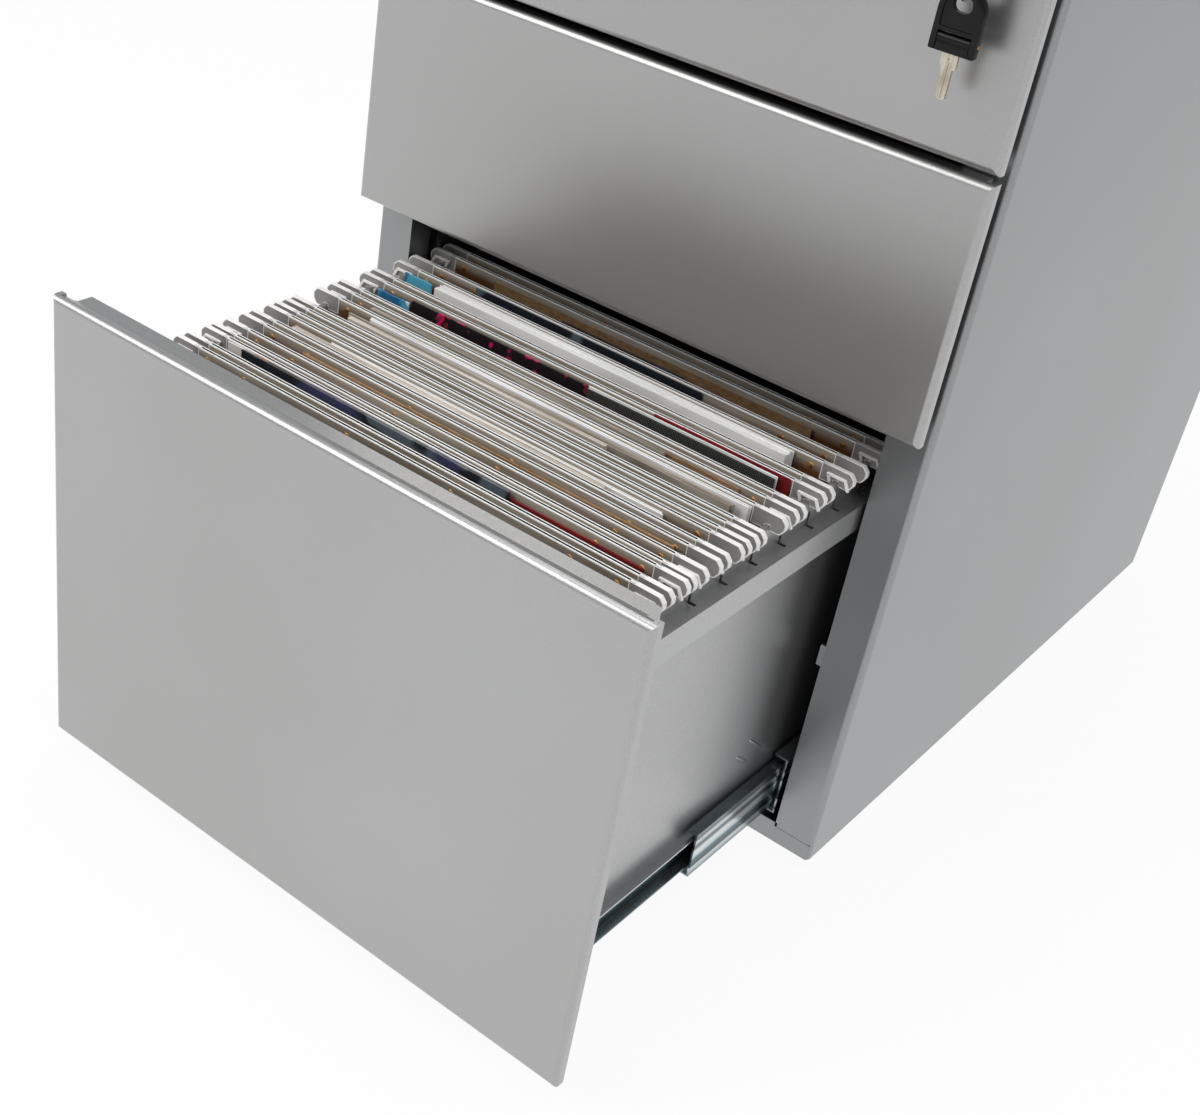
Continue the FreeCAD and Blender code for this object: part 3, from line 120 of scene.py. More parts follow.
class Finish:
    """One material: its shader's constants, and the nodes that vary its colour, roughness and surface."""

    def __init__(self, name, **constants):
        self.material = bpy.data.materials.new(name)
        self.material.use_nodes = True
        self.tree = self.material.node_tree
        self.shader = self.tree.nodes["Principled BSDF"]
        for words, value in constants.items():
            self.shader.inputs[words.replace("_", " ")].default_value = value
        self.place = self.node("TexCoord", output="Object")

    def node(self, kind, settings=None, inputs=None, output=0):
        made = self.tree.nodes.new("ShaderNode" + kind)
        for name, value in (settings or {}).items():
            if name == "stops":
                ramp = made.color_ramp
                for i, (position, shade) in enumerate(value):
                    stop = ramp.elements[i] if i < 2 else ramp.elements.new(position)
                    stop.position, stop.color = position, (*shade, 1)
            else:
                setattr(made, name, value)
        for name, value in (inputs or {}).items():
            self.feed(made.inputs[name], value)
        return Value(self, made.outputs[output])

    def feed(self, socket, value):
        if isinstance(value, Value):
            self.tree.links.new(value.socket, socket)
        else:
            socket.default_value = value

    def math(self, operation, a, b):
        return self.node("Math", {"operation": operation}, {0: a, 1: b})

    def mix(self, share, a, b):
        """Colour a where share is 0 and b where it is 1."""
        a, b = ((*c, 1) if isinstance(c, tuple) and len(c) == 3 else c for c in (a, b))
        return self.node("Mix", {"data_type": "RGBA"}, {0: share, 6: a, 7: b}, output=2)

    def noise(self, scale, stretch=(1, 1, 1), detail=2, rough=0.5):
        """Noise of about one blotch per 1/scale metres, drawn out where stretch is small."""
        where = self.node("Mapping", None, {"Vector": self.place, "Scale": tuple(scale * v for v in stretch)})
        return self.node("TexNoise", None, {"Vector": where, "Scale": 1.0, "Detail": detail, "Roughness": rough})

    def ramp(self, value, *stops):
        return self.node("ValToRGB", {"stops": stops}, {"Fac": value})

    def axis(self, letter):
        """The object coordinate along one axis, in metres."""
        return self.node("SeparateXYZ", None, {"Vector": self.place}, output=letter)

    def wave(self, letter, pitch=0.0011):
        """A sine along one axis, from 0 to 1, repeating every pitch metres."""
        return self.math("SINE", self.axis(letter) * (2 * math.pi / pitch), 0.0) * 0.5 + 0.5

    def paint(self, **feeds):
        for words, value in feeds.items():
            self.feed(self.shader.inputs[words.replace("_", " ")], value)
        return self

    def bump(self, height, strength, distance=0.0002):
        self.feed(self.shader.inputs["Normal"], self.node("Bump", None, {
            "Height": height, "Strength": strength, "Distance": distance}, output="Normal"))
        return self


def grey(level, warmth=0.0):
    return (level * (1 + warmth), level, level * (1 - warmth))


def silver_powder_coat(name, level, roughness, warmth):
    """Silver-grey metallic powder coat: fine bright flecks, a faint orange peel and slow drifts of tone."""
    f = Finish(name, Metallic=0.85, IOR=1.45, Coat_Weight=0.12, Coat_Roughness=0.3)
    fleck = f.noise(2600, detail=1)
    drift = f.noise(3.5, detail=2)
    tone = f.ramp(fleck, (0.36, grey(level * 0.86, warmth)), (0.64, grey(level * 1.14, warmth - 0.006)))
    slow = f.ramp(drift, (0.35, grey(0.965, 0.004)), (0.65, grey(1.03, -0.006)))
    f.paint(Base_Color=f.node("Mix", {"data_type": "RGBA", "blend_type": "MULTIPLY"},
                              {0: 1.0, 6: tone, 7: slow}, output=2),
            Roughness=roughness + (f.noise(900, detail=2) - 0.5) * 0.12)
    return f.bump(f.noise(420, detail=3, rough=0.6) * 0.75 + fleck * 0.25, 0.10)


def zinc_plate(name="zinc_plate", blue=0.02, level=0.42, roughness=0.32):
    """Dull zinc-plated steel: slightly bluish, with faint draw lines."""
    f = Finish(name, Metallic=0.92, IOR=1.5)
    line = f.noise(700, stretch=(1, 0.01, 1), detail=3)
    cloud = f.noise(30, stretch=(1, 0.3, 1), detail=2)
    shade = f.ramp(line * 0.55 + cloud * 0.45, (0.36, grey(level * 0.72, -blue * 1.5)), (0.53, grey(level, -blue)),
                   (0.68, grey(level * 1.25, -blue * 0.7)))
    f.bump(line, 0.05)
    return f.paint(Base_Color=shade, Roughness=roughness + (line - 0.5) * 0.12)


def rolled_zinc(name, centre):
    """Bright zinc slide: bands of pale, teal and dark along its length, painted highlights and painted shade of its
    rolled beads over the zinc's own bluish tint.
    """
    f = Finish(name, IOR=1.5)
    line = f.noise(520, stretch=(1, 0.012, 1), detail=3)
    height = f.node("MapRange", None, {"Value": f.axis("Z"), "From Min": (centre - 22.5) * MM,
                                       "From Max": (centre + 22.5) * MM})
    # Painted highlights and painted shade: pale and dark bands set by the height across the slide
    bands = f.ramp(height + (line - 0.5) * 0.02, *SLIDE_PAINTED_LIGHT_BANDS)
    wear = f.ramp(f.noise(24, stretch=(1, 0.4, 1), detail=3), (0.34, grey(0.82)), (0.66, grey(1.0)))
    f.paint(Base_Color=f.node("Mix", {"data_type": "RGBA", "blend_type": "MULTIPLY"},
                              {0: 1.0, 6: bands, 7: wear}, output=2),
            Roughness=0.17 + line * 0.12, Metallic=0.86 + line * 0.1)
    return f.bump(bands, 0.5, 0.0004)


# Painted highlight and shade bands across a slide, from its lower flange to its upper one: share of the height and
# shade
SLIDE_PAINTED_LIGHT_BANDS = [
    (0.00, (0.42, 0.47, 0.49)), (0.10, (0.05, 0.075, 0.085)), (0.17, (0.30, 0.37, 0.40)), (0.255, (0.62, 0.68, 0.70)),
    (0.285, (0.02, 0.035, 0.04)), (0.36, (0.03, 0.085, 0.11)), (0.42, (0.06, 0.15, 0.19)), (0.46, (0.50, 0.60, 0.63)),
    (0.55, (0.80, 0.83, 0.83)), (0.60, (0.40, 0.47, 0.49)), (0.635, (0.03, 0.045, 0.05)), (0.68, (0.24, 0.29, 0.31)),
    (0.735, (0.78, 0.81, 0.82)), (0.80, (0.10, 0.14, 0.16)), (0.90, (0.30, 0.35, 0.37)), (1.00, (0.72, 0.76, 0.77))]


def moulded_black(name="moulded_black", level=0.004, roughness=0.24):
    f = Finish(name, IOR=1.32)
    grain = f.noise(1500, detail=3)
    f.paint(Base_Color=f.ramp(f.noise(120, detail=2), (0.3, grey(level * 0.7)), (0.7, grey(level * 1.5))),
            Roughness=roughness + (grain - 0.5) * 0.2)
    return f.bump(grain, 0.12, 0.0001)


def lock_chrome():
    f = Finish("lock_chrome", Metallic=1.0)
    smear = f.noise(160, detail=3)
    f.paint(Base_Color=f.ramp(smear, (0.3, grey(0.60, -0.01)), (0.7, grey(0.74, -0.01))),
            Roughness=0.14 + smear * 0.12)
    return f.bump(f.noise(900, detail=2), 0.03, 0.0001)


def nickel_brass(name="nickel_brass", shade=((0.42, 0.36, 0.28), (0.74, 0.68, 0.58))):
    """Worn nickel brass with rubbed lines along the blade."""
    f = Finish(name, Metallic=0.9)
    rub = f.noise(700, stretch=(1, 1, 0.08), detail=3)
    f.paint(Base_Color=f.ramp(rub * 0.6 + f.noise(90) * 0.4, (0.35, shade[0]), (0.65, shade[1])),
            Roughness=0.28 + rub * 0.16)
    return f.bump(rub, 0.15, 0.0001)


def white_plastic(name="white_plastic", level=0.74, warmth=0.02):
    f = Finish(name, IOR=1.47)
    speck = f.noise(1300, detail=2)
    f.paint(Base_Color=f.ramp(f.noise(60, detail=3), (0.3, grey(level * 0.93, warmth)), (0.7, grey(level, warmth))),
            Roughness=0.38 + speck * 0.12)
    return f.bump(speck, 0.08, 0.0001)


def bar_plastic():
    """File bars: white ribs, and glossy beige faces that turn dark brown lower down, most towards the ends."""
    f = Finish("bar_plastic", IOR=1.47, Coat_Weight=0.3, Coat_Roughness=0.12)
    height = f.axis("Z")
    ribs = height > (BAR_TOP - 0.9) * MM
    cloud = f.noise(30, stretch=(0.35, 1, 1), detail=2)
    streak = f.noise(420, stretch=(0.03, 1, 1), detail=3)
    face = f.ramp(streak * 0.5 + cloud * 0.5, (0.36, (0.27, 0.225, 0.17)), (0.62, (0.50, 0.455, 0.385)))
    # Dark brown towards the bottom of the faces, and more so towards the bars' ends
    fade = f.node("MapRange", None, {"Value": height - cloud * 0.005, "From Min": (BAR_TOP - 4.0) * MM,
                                     "From Max": (BAR_TOP - 11.0) * MM})
    ends = f.node("MapRange", None, {"Value": abs(f.axis("X")), "From Min": 0.085, "From Max": 0.130})
    face = f.mix(fade * (ends * 0.55 + 0.45), face, (0.115, 0.045, 0.014))
    f.paint(Base_Color=f.mix(ribs, face, (0.93, 0.925, 0.91)), Roughness=0.24 + streak * 0.12)
    return f.bump(streak, 0.06, 0.0001)


def board(name, dark, pale, fibre=900):
    """Pressed board: two tones of fibre with fine specks."""
    f = Finish(name, IOR=1.4)
    strand = f.noise(fibre, stretch=(0.25, 1, 1), detail=4, rough=0.65)
    f.paint(Base_Color=f.ramp(strand * 0.7 + f.noise(26, detail=2) * 0.3, (0.36, dark), (0.64, pale)),
            Roughness=0.72 + strand * 0.16)
    return f.bump(strand, 0.2, 0.0001)


def sheet_edges(name, dark, pale, pitch=3400):
    """A stack of sheets: fine lines across its thickness, as cut edges show."""
    f = Finish(name, IOR=1.42)
    line = f.noise(pitch, stretch=(0.004, 1, 0.02), detail=2)
    f.paint(Base_Color=f.ramp(line * 0.75 + f.noise(14, detail=2) * 0.25, (0.38, dark), (0.6, pale)),
            Roughness=0.6 + line * 0.2)
    return f.bump(line, 0.35, 0.0002)


def printed_sheet(name, ground, inks, scale=60, sparse=0.54):
    """A brochure's printed face: soft blocks and specks of colour over a ground, with no picture in them."""
    f = Finish(name, IOR=1.45, Coat_Weight=0.25, Coat_Roughness=0.2)
    blocks = f.noise(scale, stretch=(1, 1, 1.3), detail=1, rough=0.4)
    colour = ground
    for i, ink in enumerate(inks):
        patch = f.node("MapRange", None, {"Value": f.noise(scale * (0.6 + 0.45 * i), detail=1),
                                          "From Min": sparse + 0.03 * i, "From Max": sparse + 0.04 + 0.03 * i})
        colour = f.mix(patch, colour, ink)
    f.paint(Base_Color=colour, Roughness=0.34 + blocks * 0.2)
    return f.bump(f.noise(800, detail=2), 0.04, 0.0001)


silver = silver_powder_coat("silver_powder_coat", 0.44, 0.34, 0.006)
# The case's copy of the same powder coat, darker and bluer than the fronts': painted shade
silver_case_painted_shade = silver_powder_coat("silver_powder_coat_case_painted_shade", 0.325, 0.36, -0.012)
# Each slide's finish carries painted highlight and shade bands, centred on that slide's height
rails = {drawer: rolled_zinc(drawer + "_slide_zinc_painted_light", level)
         for drawer, level in (("file", 50.0), ("middle", 364.5), ("top", 521.0))}
zinc_dull = zinc_plate()
black = moulded_black()
chrome = lock_chrome()
blade_metal = nickel_brass()
rivet_metal = nickel_brass("rivet_brass", ((0.50, 0.23, 0.07), (0.78, 0.42, 0.15)))
white = white_plastic(level=0.88)
bars_finish = bar_plastic()
# A dark grey copy of the white plastic for the hooks' flat faces: painted shade between the packed hooks
hook_face_painted_shade = white_plastic("hook_face_painted_shade", level=0.27, warmth=0.03)
board_tan = board("board_tan", (0.19, 0.095, 0.04), (0.36, 0.22, 0.115))


def woven_mesh():
    """Black mesh sheet: a fine grid of pale dots made by two crossed waves."""
    f = Finish("mesh_black", IOR=1.45)
    grid = (f.wave("X") * f.wave("Z")) > 0.55
    f.paint(Base_Color=f.mix(grid, (0.010, 0.010, 0.011), (0.20, 0.20, 0.19)), Roughness=0.5 + f.noise(500) * 0.2)
    return f


mesh_black = woven_mesh()
kraft_inside = board("kraft_board_inside", (0.13, 0.050, 0.016), (0.27, 0.115, 0.04))
kraft_outside = board("kraft_board_outside", (0.20, 0.13, 0.075), (0.32, 0.235, 0.155))
paper_white = sheet_edges("paper_white", (0.74, 0.735, 0.72), (0.93, 0.93, 0.925))
paper_cream = sheet_edges("paper_cream", (0.44, 0.38, 0.33), (0.76, 0.70, 0.63))
paper_grey = sheet_edges("paper_grey", (0.20, 0.165, 0.13), (0.48, 0.43, 0.37))
folder_red = board("folder_red", (0.13, 0.004, 0.006), (0.26, 0.010, 0.012))
sheet_black = board("sheet_black", (0.006, 0.006, 0.007), (0.02, 0.02, 0.022))
print_blue = printed_sheet("print_blue", (0.02, 0.16, 0.34, 1), [(0.10, 0.42, 0.60, 1), (0.62, 0.72, 0.74, 1)])
print_pink = printed_sheet("print_pink", (0.012, 0.008, 0.01, 1), [(0.62, 0.01, 0.12, 1), (0.22, 0.02, 0.03, 1)],
                           150, 0.6)
print_navy = printed_sheet("print_navy", (0.012, 0.015, 0.022, 1), [(0.045, 0.05, 0.12, 1), (0.10, 0.13, 0.16, 1)],
                           34)
print_orange = printed_sheet("print_orange", (0.74, 0.70, 0.66, 1), [(0.62, 0.20, 0.05, 1), (0.30, 0.26, 0.5, 1)], 30)


# Shapes
def add_piece(name, points, faces, finish, body, replaced=(), smooth=30, extra=()):
    """A mesh of points in mm that rides on a body, stands for CAD nodes and is smoothed below an angle."""
    data = bpy.data.meshes.new(name)
    data.from_pydata((np.asarray(points, float) * MM).tolist(), [], [list(map(int, f)) for f in faces])
    data.update()
    made = bpy.data.objects.new(name, data)
    bpy.context.scene.collection.objects.link(made)
    for f in (finish, *extra):
        data.materials.append(f.material)
    data.polygons.foreach_set("use_smooth", np.ones(len(data.polygons), bool))
    data.set_sharp_from_angle(angle=math.radians(smooth))
    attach(made, body)
    if replaced:
        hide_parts(*replaced)
    return made


class Mesh:
    """Points and faces gathered from several shapes, so that one piece can hold them all."""

    def __init__(self):
        self.points, self.faces, self.kinds, self.count = [], [], [], 0

    def add(self, points, faces, kind=0):
        points = np.asarray(points, float).reshape(-1, 3)
        faces = [[i + self.count for i in face] for face in faces]
        self.points.append(points)
        self.faces += faces
        self.kinds += [kind] * len(faces)
        self.count += len(points)

    def piece(self, name, finish, body, slot, replaced=(), smooth=30, extra=()):
        made = add_piece(name, np.concatenate(self.points), self.faces, finish, body, replaced, smooth, extra)
        made.data.polygons.foreach_set("material_index", np.array(self.kinds, np.int32))
        return made


def grid_faces(rows, columns, closed_rows=False, closed_columns=True):
    """Four-cornered faces between neighbouring points of a grid."""
    faces = []
    for i in range(rows if closed_rows else rows - 1):
        for j in range(columns if closed_columns else columns - 1):
            a, b = i * columns + j, i * columns + (j + 1) % columns
            c, d = ((i + 1) % rows) * columns + (j + 1) % columns, ((i + 1) % rows) * columns + j
            faces.append([a, b, c, d])
    return faces


def prism(outline, low, high, axis="x"):
    """An outline carried straight from low to high along X or Y."""
    outline = np.asarray(outline, float)
    n = len(outline)
    level = np.repeat([low, high], n)[:, None]
    flat = np.tile(outline, (2, 1))
    if axis == "x":
        points = np.hstack([level, flat])
    else:
        points = np.column_stack([flat[:, 1], level[:, 0], flat[:, 0]])
    return points, grid_faces(2, n) + [list(range(n))[::-1], list(range(n, 2 * n))]


def rounded(corners, radii, steps=5):
    """An outline whose corners are arcs: each arc runs between the tangent points of its two sides."""
    corners = np.asarray(corners, float)
    out = []
    for i, corner in enumerate(corners):
        radius = radii[i] if hasattr(radii, "__len__") else radii
        to_last, to_next = corners[i - 1] - corner, corners[(i + 1) % len(corners)] - corner
        a, b = to_last / np.linalg.norm(to_last), to_next / np.linalg.norm(to_next)
        half = math.acos(np.clip(a @ b, -1, 1)) / 2
        if radius < 1e-6 or half > 1.55:
            out.append(corner)
            continue
        centre = corner + (a + b) / np.linalg.norm(a + b) * radius / math.sin(half)
        start, end = corner + a * radius / math.tan(half) - centre, corner + b * radius / math.tan(half) - centre
        turn = math.acos(np.clip(start @ end / radius ** 2, -1, 1))
        for t in np.linspace(0, 1, steps):
            out.append(centre + (start * math.sin((1 - t) * turn) + end * math.sin(t * turn)) / math.sin(turn))
    return np.array(out)


def dome(centre, radius, height, axis, sign=1, sides=12, rings=4):
    """A rivet head: a low dome of revolution about an axis, height times the cosine over its radius."""
    t = np.linspace(0, math.pi / 2, rings)[:, None]
    turn = np.linspace(0, 2 * math.pi, sides, endpoint=False)[None, :]
    out = radius * np.cos(t) * np.ones_like(turn)
    rise = height * np.sin(t) * np.ones_like(turn) * sign
    a, b = out * np.cos(turn), out * np.sin(turn) * sign
    order = {"x": (rise, a, b), "y": (b, rise, a)}[axis]
    points = np.stack(order, -1).reshape(-1, 3) + np.asarray(centre, float)
    faces = grid_faces(rings, sides)
    return points, faces


def torus(centre, radius, wire, around=64, across=12):
    """A ring: the wire's circle carried round a larger circle in the YZ plane."""
    u = np.linspace(0, 2 * math.pi, around, endpoint=False)[:, None]
    v = np.linspace(0, 2 * math.pi, across, endpoint=False)[None, :]
    reach = radius + wire * np.cos(v)
    points = np.stack([wire * np.sin(v) * np.ones_like(u), reach * np.cos(u), reach * np.sin(u)], -1)
    return points.reshape(-1, 3) + np.asarray(centre, float), grid_faces(around, across, True, True)


def outward(obj):
    """Turns the faces of closed shapes outwards."""
    work = bmesh.new()
    work.from_mesh(obj.data)
    bmesh.ops.recalc_face_normals(work, faces=work.faces)
    work.to_mesh(obj.data)
    work.free()
    obj.data.set_sharp_from_angle(angle=math.radians(30))
    return obj


def carve(obj, tool):
    """Takes a closed tool shape out of a piece, and applies it."""
    cutter_data = bpy.data.meshes.new("cutter")
    cutter_data.from_pydata((np.concatenate(tool.points) * MM).tolist(), [], tool.faces)
    cutter = bpy.data.objects.new("cutter", cutter_data)
    bpy.context.scene.collection.objects.link(cutter)
    outward(cutter)
    cut = obj.modifiers.new("carve", "BOOLEAN")
    cut.operation, cut.object, cut.solver = "DIFFERENCE", cutter, "EXACT"
    graph = bpy.context.evaluated_depsgraph_get()
    fresh = bpy.data.meshes.new_from_object(obj.evaluated_get(graph))
    obj.modifiers.clear()
    obj.data = fresh
    bpy.data.objects.remove(cutter)
    fresh.polygons.foreach_set("use_smooth", np.ones(len(fresh.polygons), bool))
    fresh.set_sharp_from_angle(angle=math.radians(35))


# Suspension files
def file_bars():
    """Grooved bars: an upright strip whose top is two thin white ribs with a groove between them, whose walls and
    floor take the black finish as painted shade.
    """
    made = Mesh()
    half, rib, depth = 1.5, 0.75, 3.0
    low, top = BAR_TOP - BAR_TALL, BAR_TOP
    right = [(-half, low + 0.4), (-half + 0.4, low), (half - 0.4, low), (half, low + 0.4), (half, top - 0.2),
             (half - 0.15, top), (half - rib + 0.1, top), (half - rib, top - 0.2), (half - rib, top - depth)]
    left = [(rib - half, top - depth), (rib - half, top - 0.2), (rib - half - 0.1, top), (0.15 - half, top),
            (-half, top - 0.2)]
    outline = right + left
    n = len(outline)
    # The groove's walls and floor take the black finish: painted shade in the groove
    dark = {len(right) - 2, len(right) - 1, len(right)}
    for pair in FILE_BARS:
        for y in pair:
            made.add(*prism([(a + y, b) for a, b in outline], -BAR_HALF, BAR_HALF))
            made.kinds[-n - 2:-2] = [int(i in dark) for i in range(n)]
    return made.piece("file_bars", bars_finish, "hanging_files", "white_plastic", ["suspension_file_bars"],
                      extra=[black])


def end_hook_outline(side):
    """Side view of an end hook: a short rounded nose outside the rail, and the notch that rides on it."""
    low = BAR_TOP - 10.8
    inner, outer = RAIL_OUT - RAIL_WIDE - 0.3, RAIL_OUT + 0.3
    corners = [(BAR_HALF - 4, low), (inner, low), (inner, RAIL_TOP + 0.3), (outer, RAIL_TOP + 0.3), (outer, low),
               (HOOK_HALF - 2.5, low), (HOOK_HALF, low + 4), (HOOK_HALF, BAR_TOP - 3.2), (HOOK_HALF - 3, BAR_TOP),
               (BAR_HALF - 4, BAR_TOP)]
    radii = [0.3, 0.4, 0.5, 0.5, 0.6, 2.2, 3.0, 2.6, 1.6, 0.3]
    return rounded(corners, radii, 5) * (side, 1)


def end_hooks():
    """Hooks of white plastic with white rims; their flat faces take a dark grey copy of the white finish, painted
    shade between the packed hooks.
    """
    made = Mesh()
    for side in (-1, 1):
        flat = end_hook_outline(side)
        n = len(flat)
        centre = flat.mean(0)
        away = (flat - centre) / np.linalg.norm(flat - centre, axis=1)[:, None]
        for pair in FILE_BARS:
            for y in pair:
                levels = ((-1.65, 0.75), (-1.8, 0.55), (-1.8, 0.25), (-1.55, 0), (1.55, 0), (1.8, 0.25), (1.8, 0.55),
                          (1.65, 0.75))
                rows = [np.column_stack([(flat - away * draw)[:, 0], np.full(n, y + level),
                                         (flat - away * draw)[:, 1]]) for level, draw in levels]
                made.add(np.concatenate(rows), grid_faces(len(rows), n))
                start = made.count - len(rows) * n
                made.faces += [[start + i for i in range(n)][::-1], [made.count - n + i for i in range(n)]]
                # The flat faces take the dark grey copy: painted shade
                made.kinds += [1, 1]
    return outward(made.piece("end_hooks", white, "hanging_files", "white_plastic", ["suspension_file_hooks"],
                              extra=[hook_face_painted_shade]))


def link_clips():
    """Staples on the front of the end hooks: a rod along the bar with a leg down at each end."""
    made = Mesh()
    for front, rear in FILE_BARS:
        seat = front - HOOK_THICK / 2
        for s in (-1, 1):
            for (x0, z0), (x1, z1) in (((160.6, 290.2), (173.6, 290.2)), ((161.3, 290.6), (163.6, 285.4)),
                                       ((172.8, 290.6), (176.2, 284.2))):
                along = np.array([x1 - x0, z1 - z0], float)
                side = np.array([-along[1], along[0]]) / np.linalg.norm(along) * 0.75
                a, b = np.array([x0, z0]), np.array([x1, z1])
                corners = rounded([a - side, b - side, b + side, a + side], 0.5, 4) * (s, 1)
                rows = [corners + (corners.mean(0) - corners) * inset for inset in (0.12, 0, 0)]
                levels = (seat - 1.5, seat - 1.15, seat)
                n = len(corners)
                points = [np.column_stack([r[:, 0], np.full(n, y), r[:, 1]]) for r, y in zip(rows, levels)]
                made.add(np.concatenate(points),
                         grid_faces(3, n) + [list(range(n))[::-1], list(range(2 * n, 3 * n))])
    return outward(made.piece("link_clips", white, "hanging_files", "white_plastic", ["file_link_clips"]))


def file_rivets():
    """Brass rivets through the bars that hold the boards, two near each end and two further in."""
    made = Mesh()
    for pair in FILE_BARS:
        for y in pair:
            for x in (-149, -119, -38, 38, 119, 149):
                made.add(*dome((x, y - 1.5, BAR_TOP - 5.4), 2.0, 0.8, "y", -1))
                made.add(*dome((x, y + 1.5, BAR_TOP - 5.4), 2.0, 0.8, "y", 1))
    return outward(made.piece("file_rivets", rivet_metal, "hanging_files", "file_paper"))


def pockets():
    """Folded boards: two leaves that sag a little from the bars down to a narrow foot."""
    made = Mesh()
    low, top = FLOOR_OF_TRAY + 25, BAR_TOP - BAR_TALL + 1.5
    half, thick = 152.0, 0.8
    for front, rear in FILE_BARS:
        centre, foot = (front + rear) / 2, 2.5
        t = np.linspace(0, 1, 9)
        for bar, sign in ((front, -1), (rear, 1)):
            start = bar + sign * thick / 2
            outer = np.column_stack([start + (centre + sign * foot - start) * t ** 1.15, top + (low - top) * t])
            inner = outer - np.array([sign * thick, 0])
            x = np.array([-half, half])
            for line, kind, flip in ((outer, 0, sign < 0), (inner, 1, sign > 0)):
                points = np.array([[a, *p] for p in line for a in x])
                faces = grid_faces(len(line), 2, False, False)
                made.add(points, faces if flip else [f[::-1] for f in faces], kind)
            for a, turn in ((-half, 1), (half, -1)):
                rim = np.concatenate([outer, inner])
                n = len(outer)
                faces = [[i, i + 1, n + i + 1, n + i] for i in range(n - 1)]
                flip = (turn * sign) > 0
                made.add(np.column_stack([np.full(2 * n, a), rim]), faces if flip else [f[::-1] for f in faces], 0)
        floor = [(-half, centre - foot, low), (half, centre - foot, low), (half, centre + foot, low),
                 (-half, centre + foot, low)]
        made.add(floor, [[3, 2, 1, 0]], 0)
        made.add(np.array(floor) + (0, 0, thick), [[0, 1, 2, 3]], 1)
    return made.piece("suspension_pockets", kraft_outside, "hanging_files", "file_paper",
                      ["suspension_file_pockets"], extra=[kraft_inside])


def sheaf(made, middle, thickness, left, right, top, rng, leaves):
    """Upright sheets: thin slabs side by side, each a little shorter than the last and bowed along its length."""
    each = thickness / leaves
    for i in range(leaves):
        y = middle - thickness / 2 + each * (i + 0.5)
        drop, short_left, short_right = rng.uniform(0, 0.9, 3) * (leaves > 1)
        xs = np.linspace(left + short_left * 2, right - short_right * 2, 17)
        wave = 0.2 * each * np.sin(np.linspace(0, math.pi * rng.uniform(1, 3), 17) + rng.uniform(0, 6))
        half, high = each * 0.47, top - drop
        ring = [(-half, high - 0.2), (-half * 0.5, high), (half * 0.5, high), (half, high - 0.2),
                (half, SHEET_FOOT), (-half, SHEET_FOOT)]
        points = [[a, y + w + p, z] for a, w in zip(xs, wave) for p, z in ring]
        made.add(points, grid_faces(17, 6) + [[5, 4, 3, 2, 1, 0], [16 * 6 + k for k in range(6)]])


# Each sheaf: distance of its middle behind the drawer's face, thickness, left and right ends, height of its top,
# leaves in it and the finish that it takes; the wide gaps between the bars hold most of them, as in the photograph
CONTENTS = [
    (68.5, 2.4, -146, 120, 280, 3, "grey"),
    (84.2, 1.0, -154, -121, 294.0, 1, "orange"), (82.6, 1.6, -141, 64, 295.0, 2, "navy"),
    (84.0, 1.2, 20, 150, 290.4, 1, "red"), (76.6, 1.4, -128, 110, 290.0, 2, "grey"),
    (98.5, 2.6, -140, 118, 288.0, 2, "tan"),
    (110.5, 2.4, -120, 152, 293.6, 2, "tan"), (107.2, 1.8, -146, 96, 290.5, 2, "grey"),
    (120.5, 1.6, -140, 110, 288.5, 2, "grey"),
    (130.0, 3.4, -147, 92, 294.2, 5, "cream"), (134.2, 1.8, -120, 128, 293.0, 3, "white"),
    (141.2, 1.4, -130, 116, 290.0, 2, "grey"), (148.5, 2.2, -146, 96, 282.0, 3, "cream"),
    (156.0, 1.6, -140, 118, 291.5, 2, "tan"),
    (166.5, 3.2, -136, 66, 295.0, 4, "cream"), (173.2, 3.4, -141, 148, 293.4, 4, "grey"),
    (178.2, 2.4, -128, 156, 294.0, 3, "white"),
    (188.4, 3.0, -137, 92, 294.6, 4, "grey"), (191.2, 0.8, -100, 140, 293.0, 1, "tan"),
    (197.5, 2.4, -146, 110, 284.0, 3, "cream"),
    (218.2, 1.2, -158, -131, 291.4, 1, "blue"), (219.4, 1.2, -130, 12, 293.6, 1, "pink"),
    (216.6, 1.0, 14, 147.6, 293.4, 1, "mesh"), (217.8, 0.9, 14, 148.4, 294.8, 1, "white"),
    (221.2, 0.9, 60, 155, 295.0, 1, "red"),
    (228.0, 2.0, -146, 130, 283.0, 3, "grey"),
    (246.6, 1.4, -160, -137, 294.6, 1, "blue"), (249.6, 8.2, -134, 138, 294.4, 8, "white"),
    (269.2, 1.2, -118, 62, 294.0, 1, "navy"), (263.8, 3.0, -146, 130, 282.0, 3, "grey"),
    (286.5, 2.2, -60, 40, 289.0, 2, "navy"), (291.4, 1.2, -120, 128, 291.0, 1, "tan"),
    (300.5, 2.4, -146, 96, 283.0, 3, "cream"),
]
SHEAF_FINISH = {"white": paper_white, "cream": paper_cream, "grey": paper_grey, "red": folder_red,
                "black": sheet_black, "blue": print_blue, "pink": print_pink, "navy": print_navy,
                "orange": print_orange, "tan": board_tan, "mesh": mesh_black}


def filed_papers():
    rng = np.random.default_rng(7)
    gathered = {}
    for behind, thickness, left, right, top, leaves, kind in CONTENTS:
        sheaf(gathered.setdefault(kind, Mesh()), FILE_FACE + behind, thickness, left, right, top, rng, leaves)
    made = []
    for kind, mesh in gathered.items():
        made.append(mesh.piece("papers_" + kind, SHEAF_FINISH[kind], "hanging_files", "papers"))
    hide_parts("filed_papers")
    return made


# Ends of the short ridges pressed out of the file tray's sides, as places along Y and up
PRESSED_MARKS = [((-183.5, 105.4), (-157.5, 83.7)), ((-196.5, 98.7), (-174.0, 80.7))]


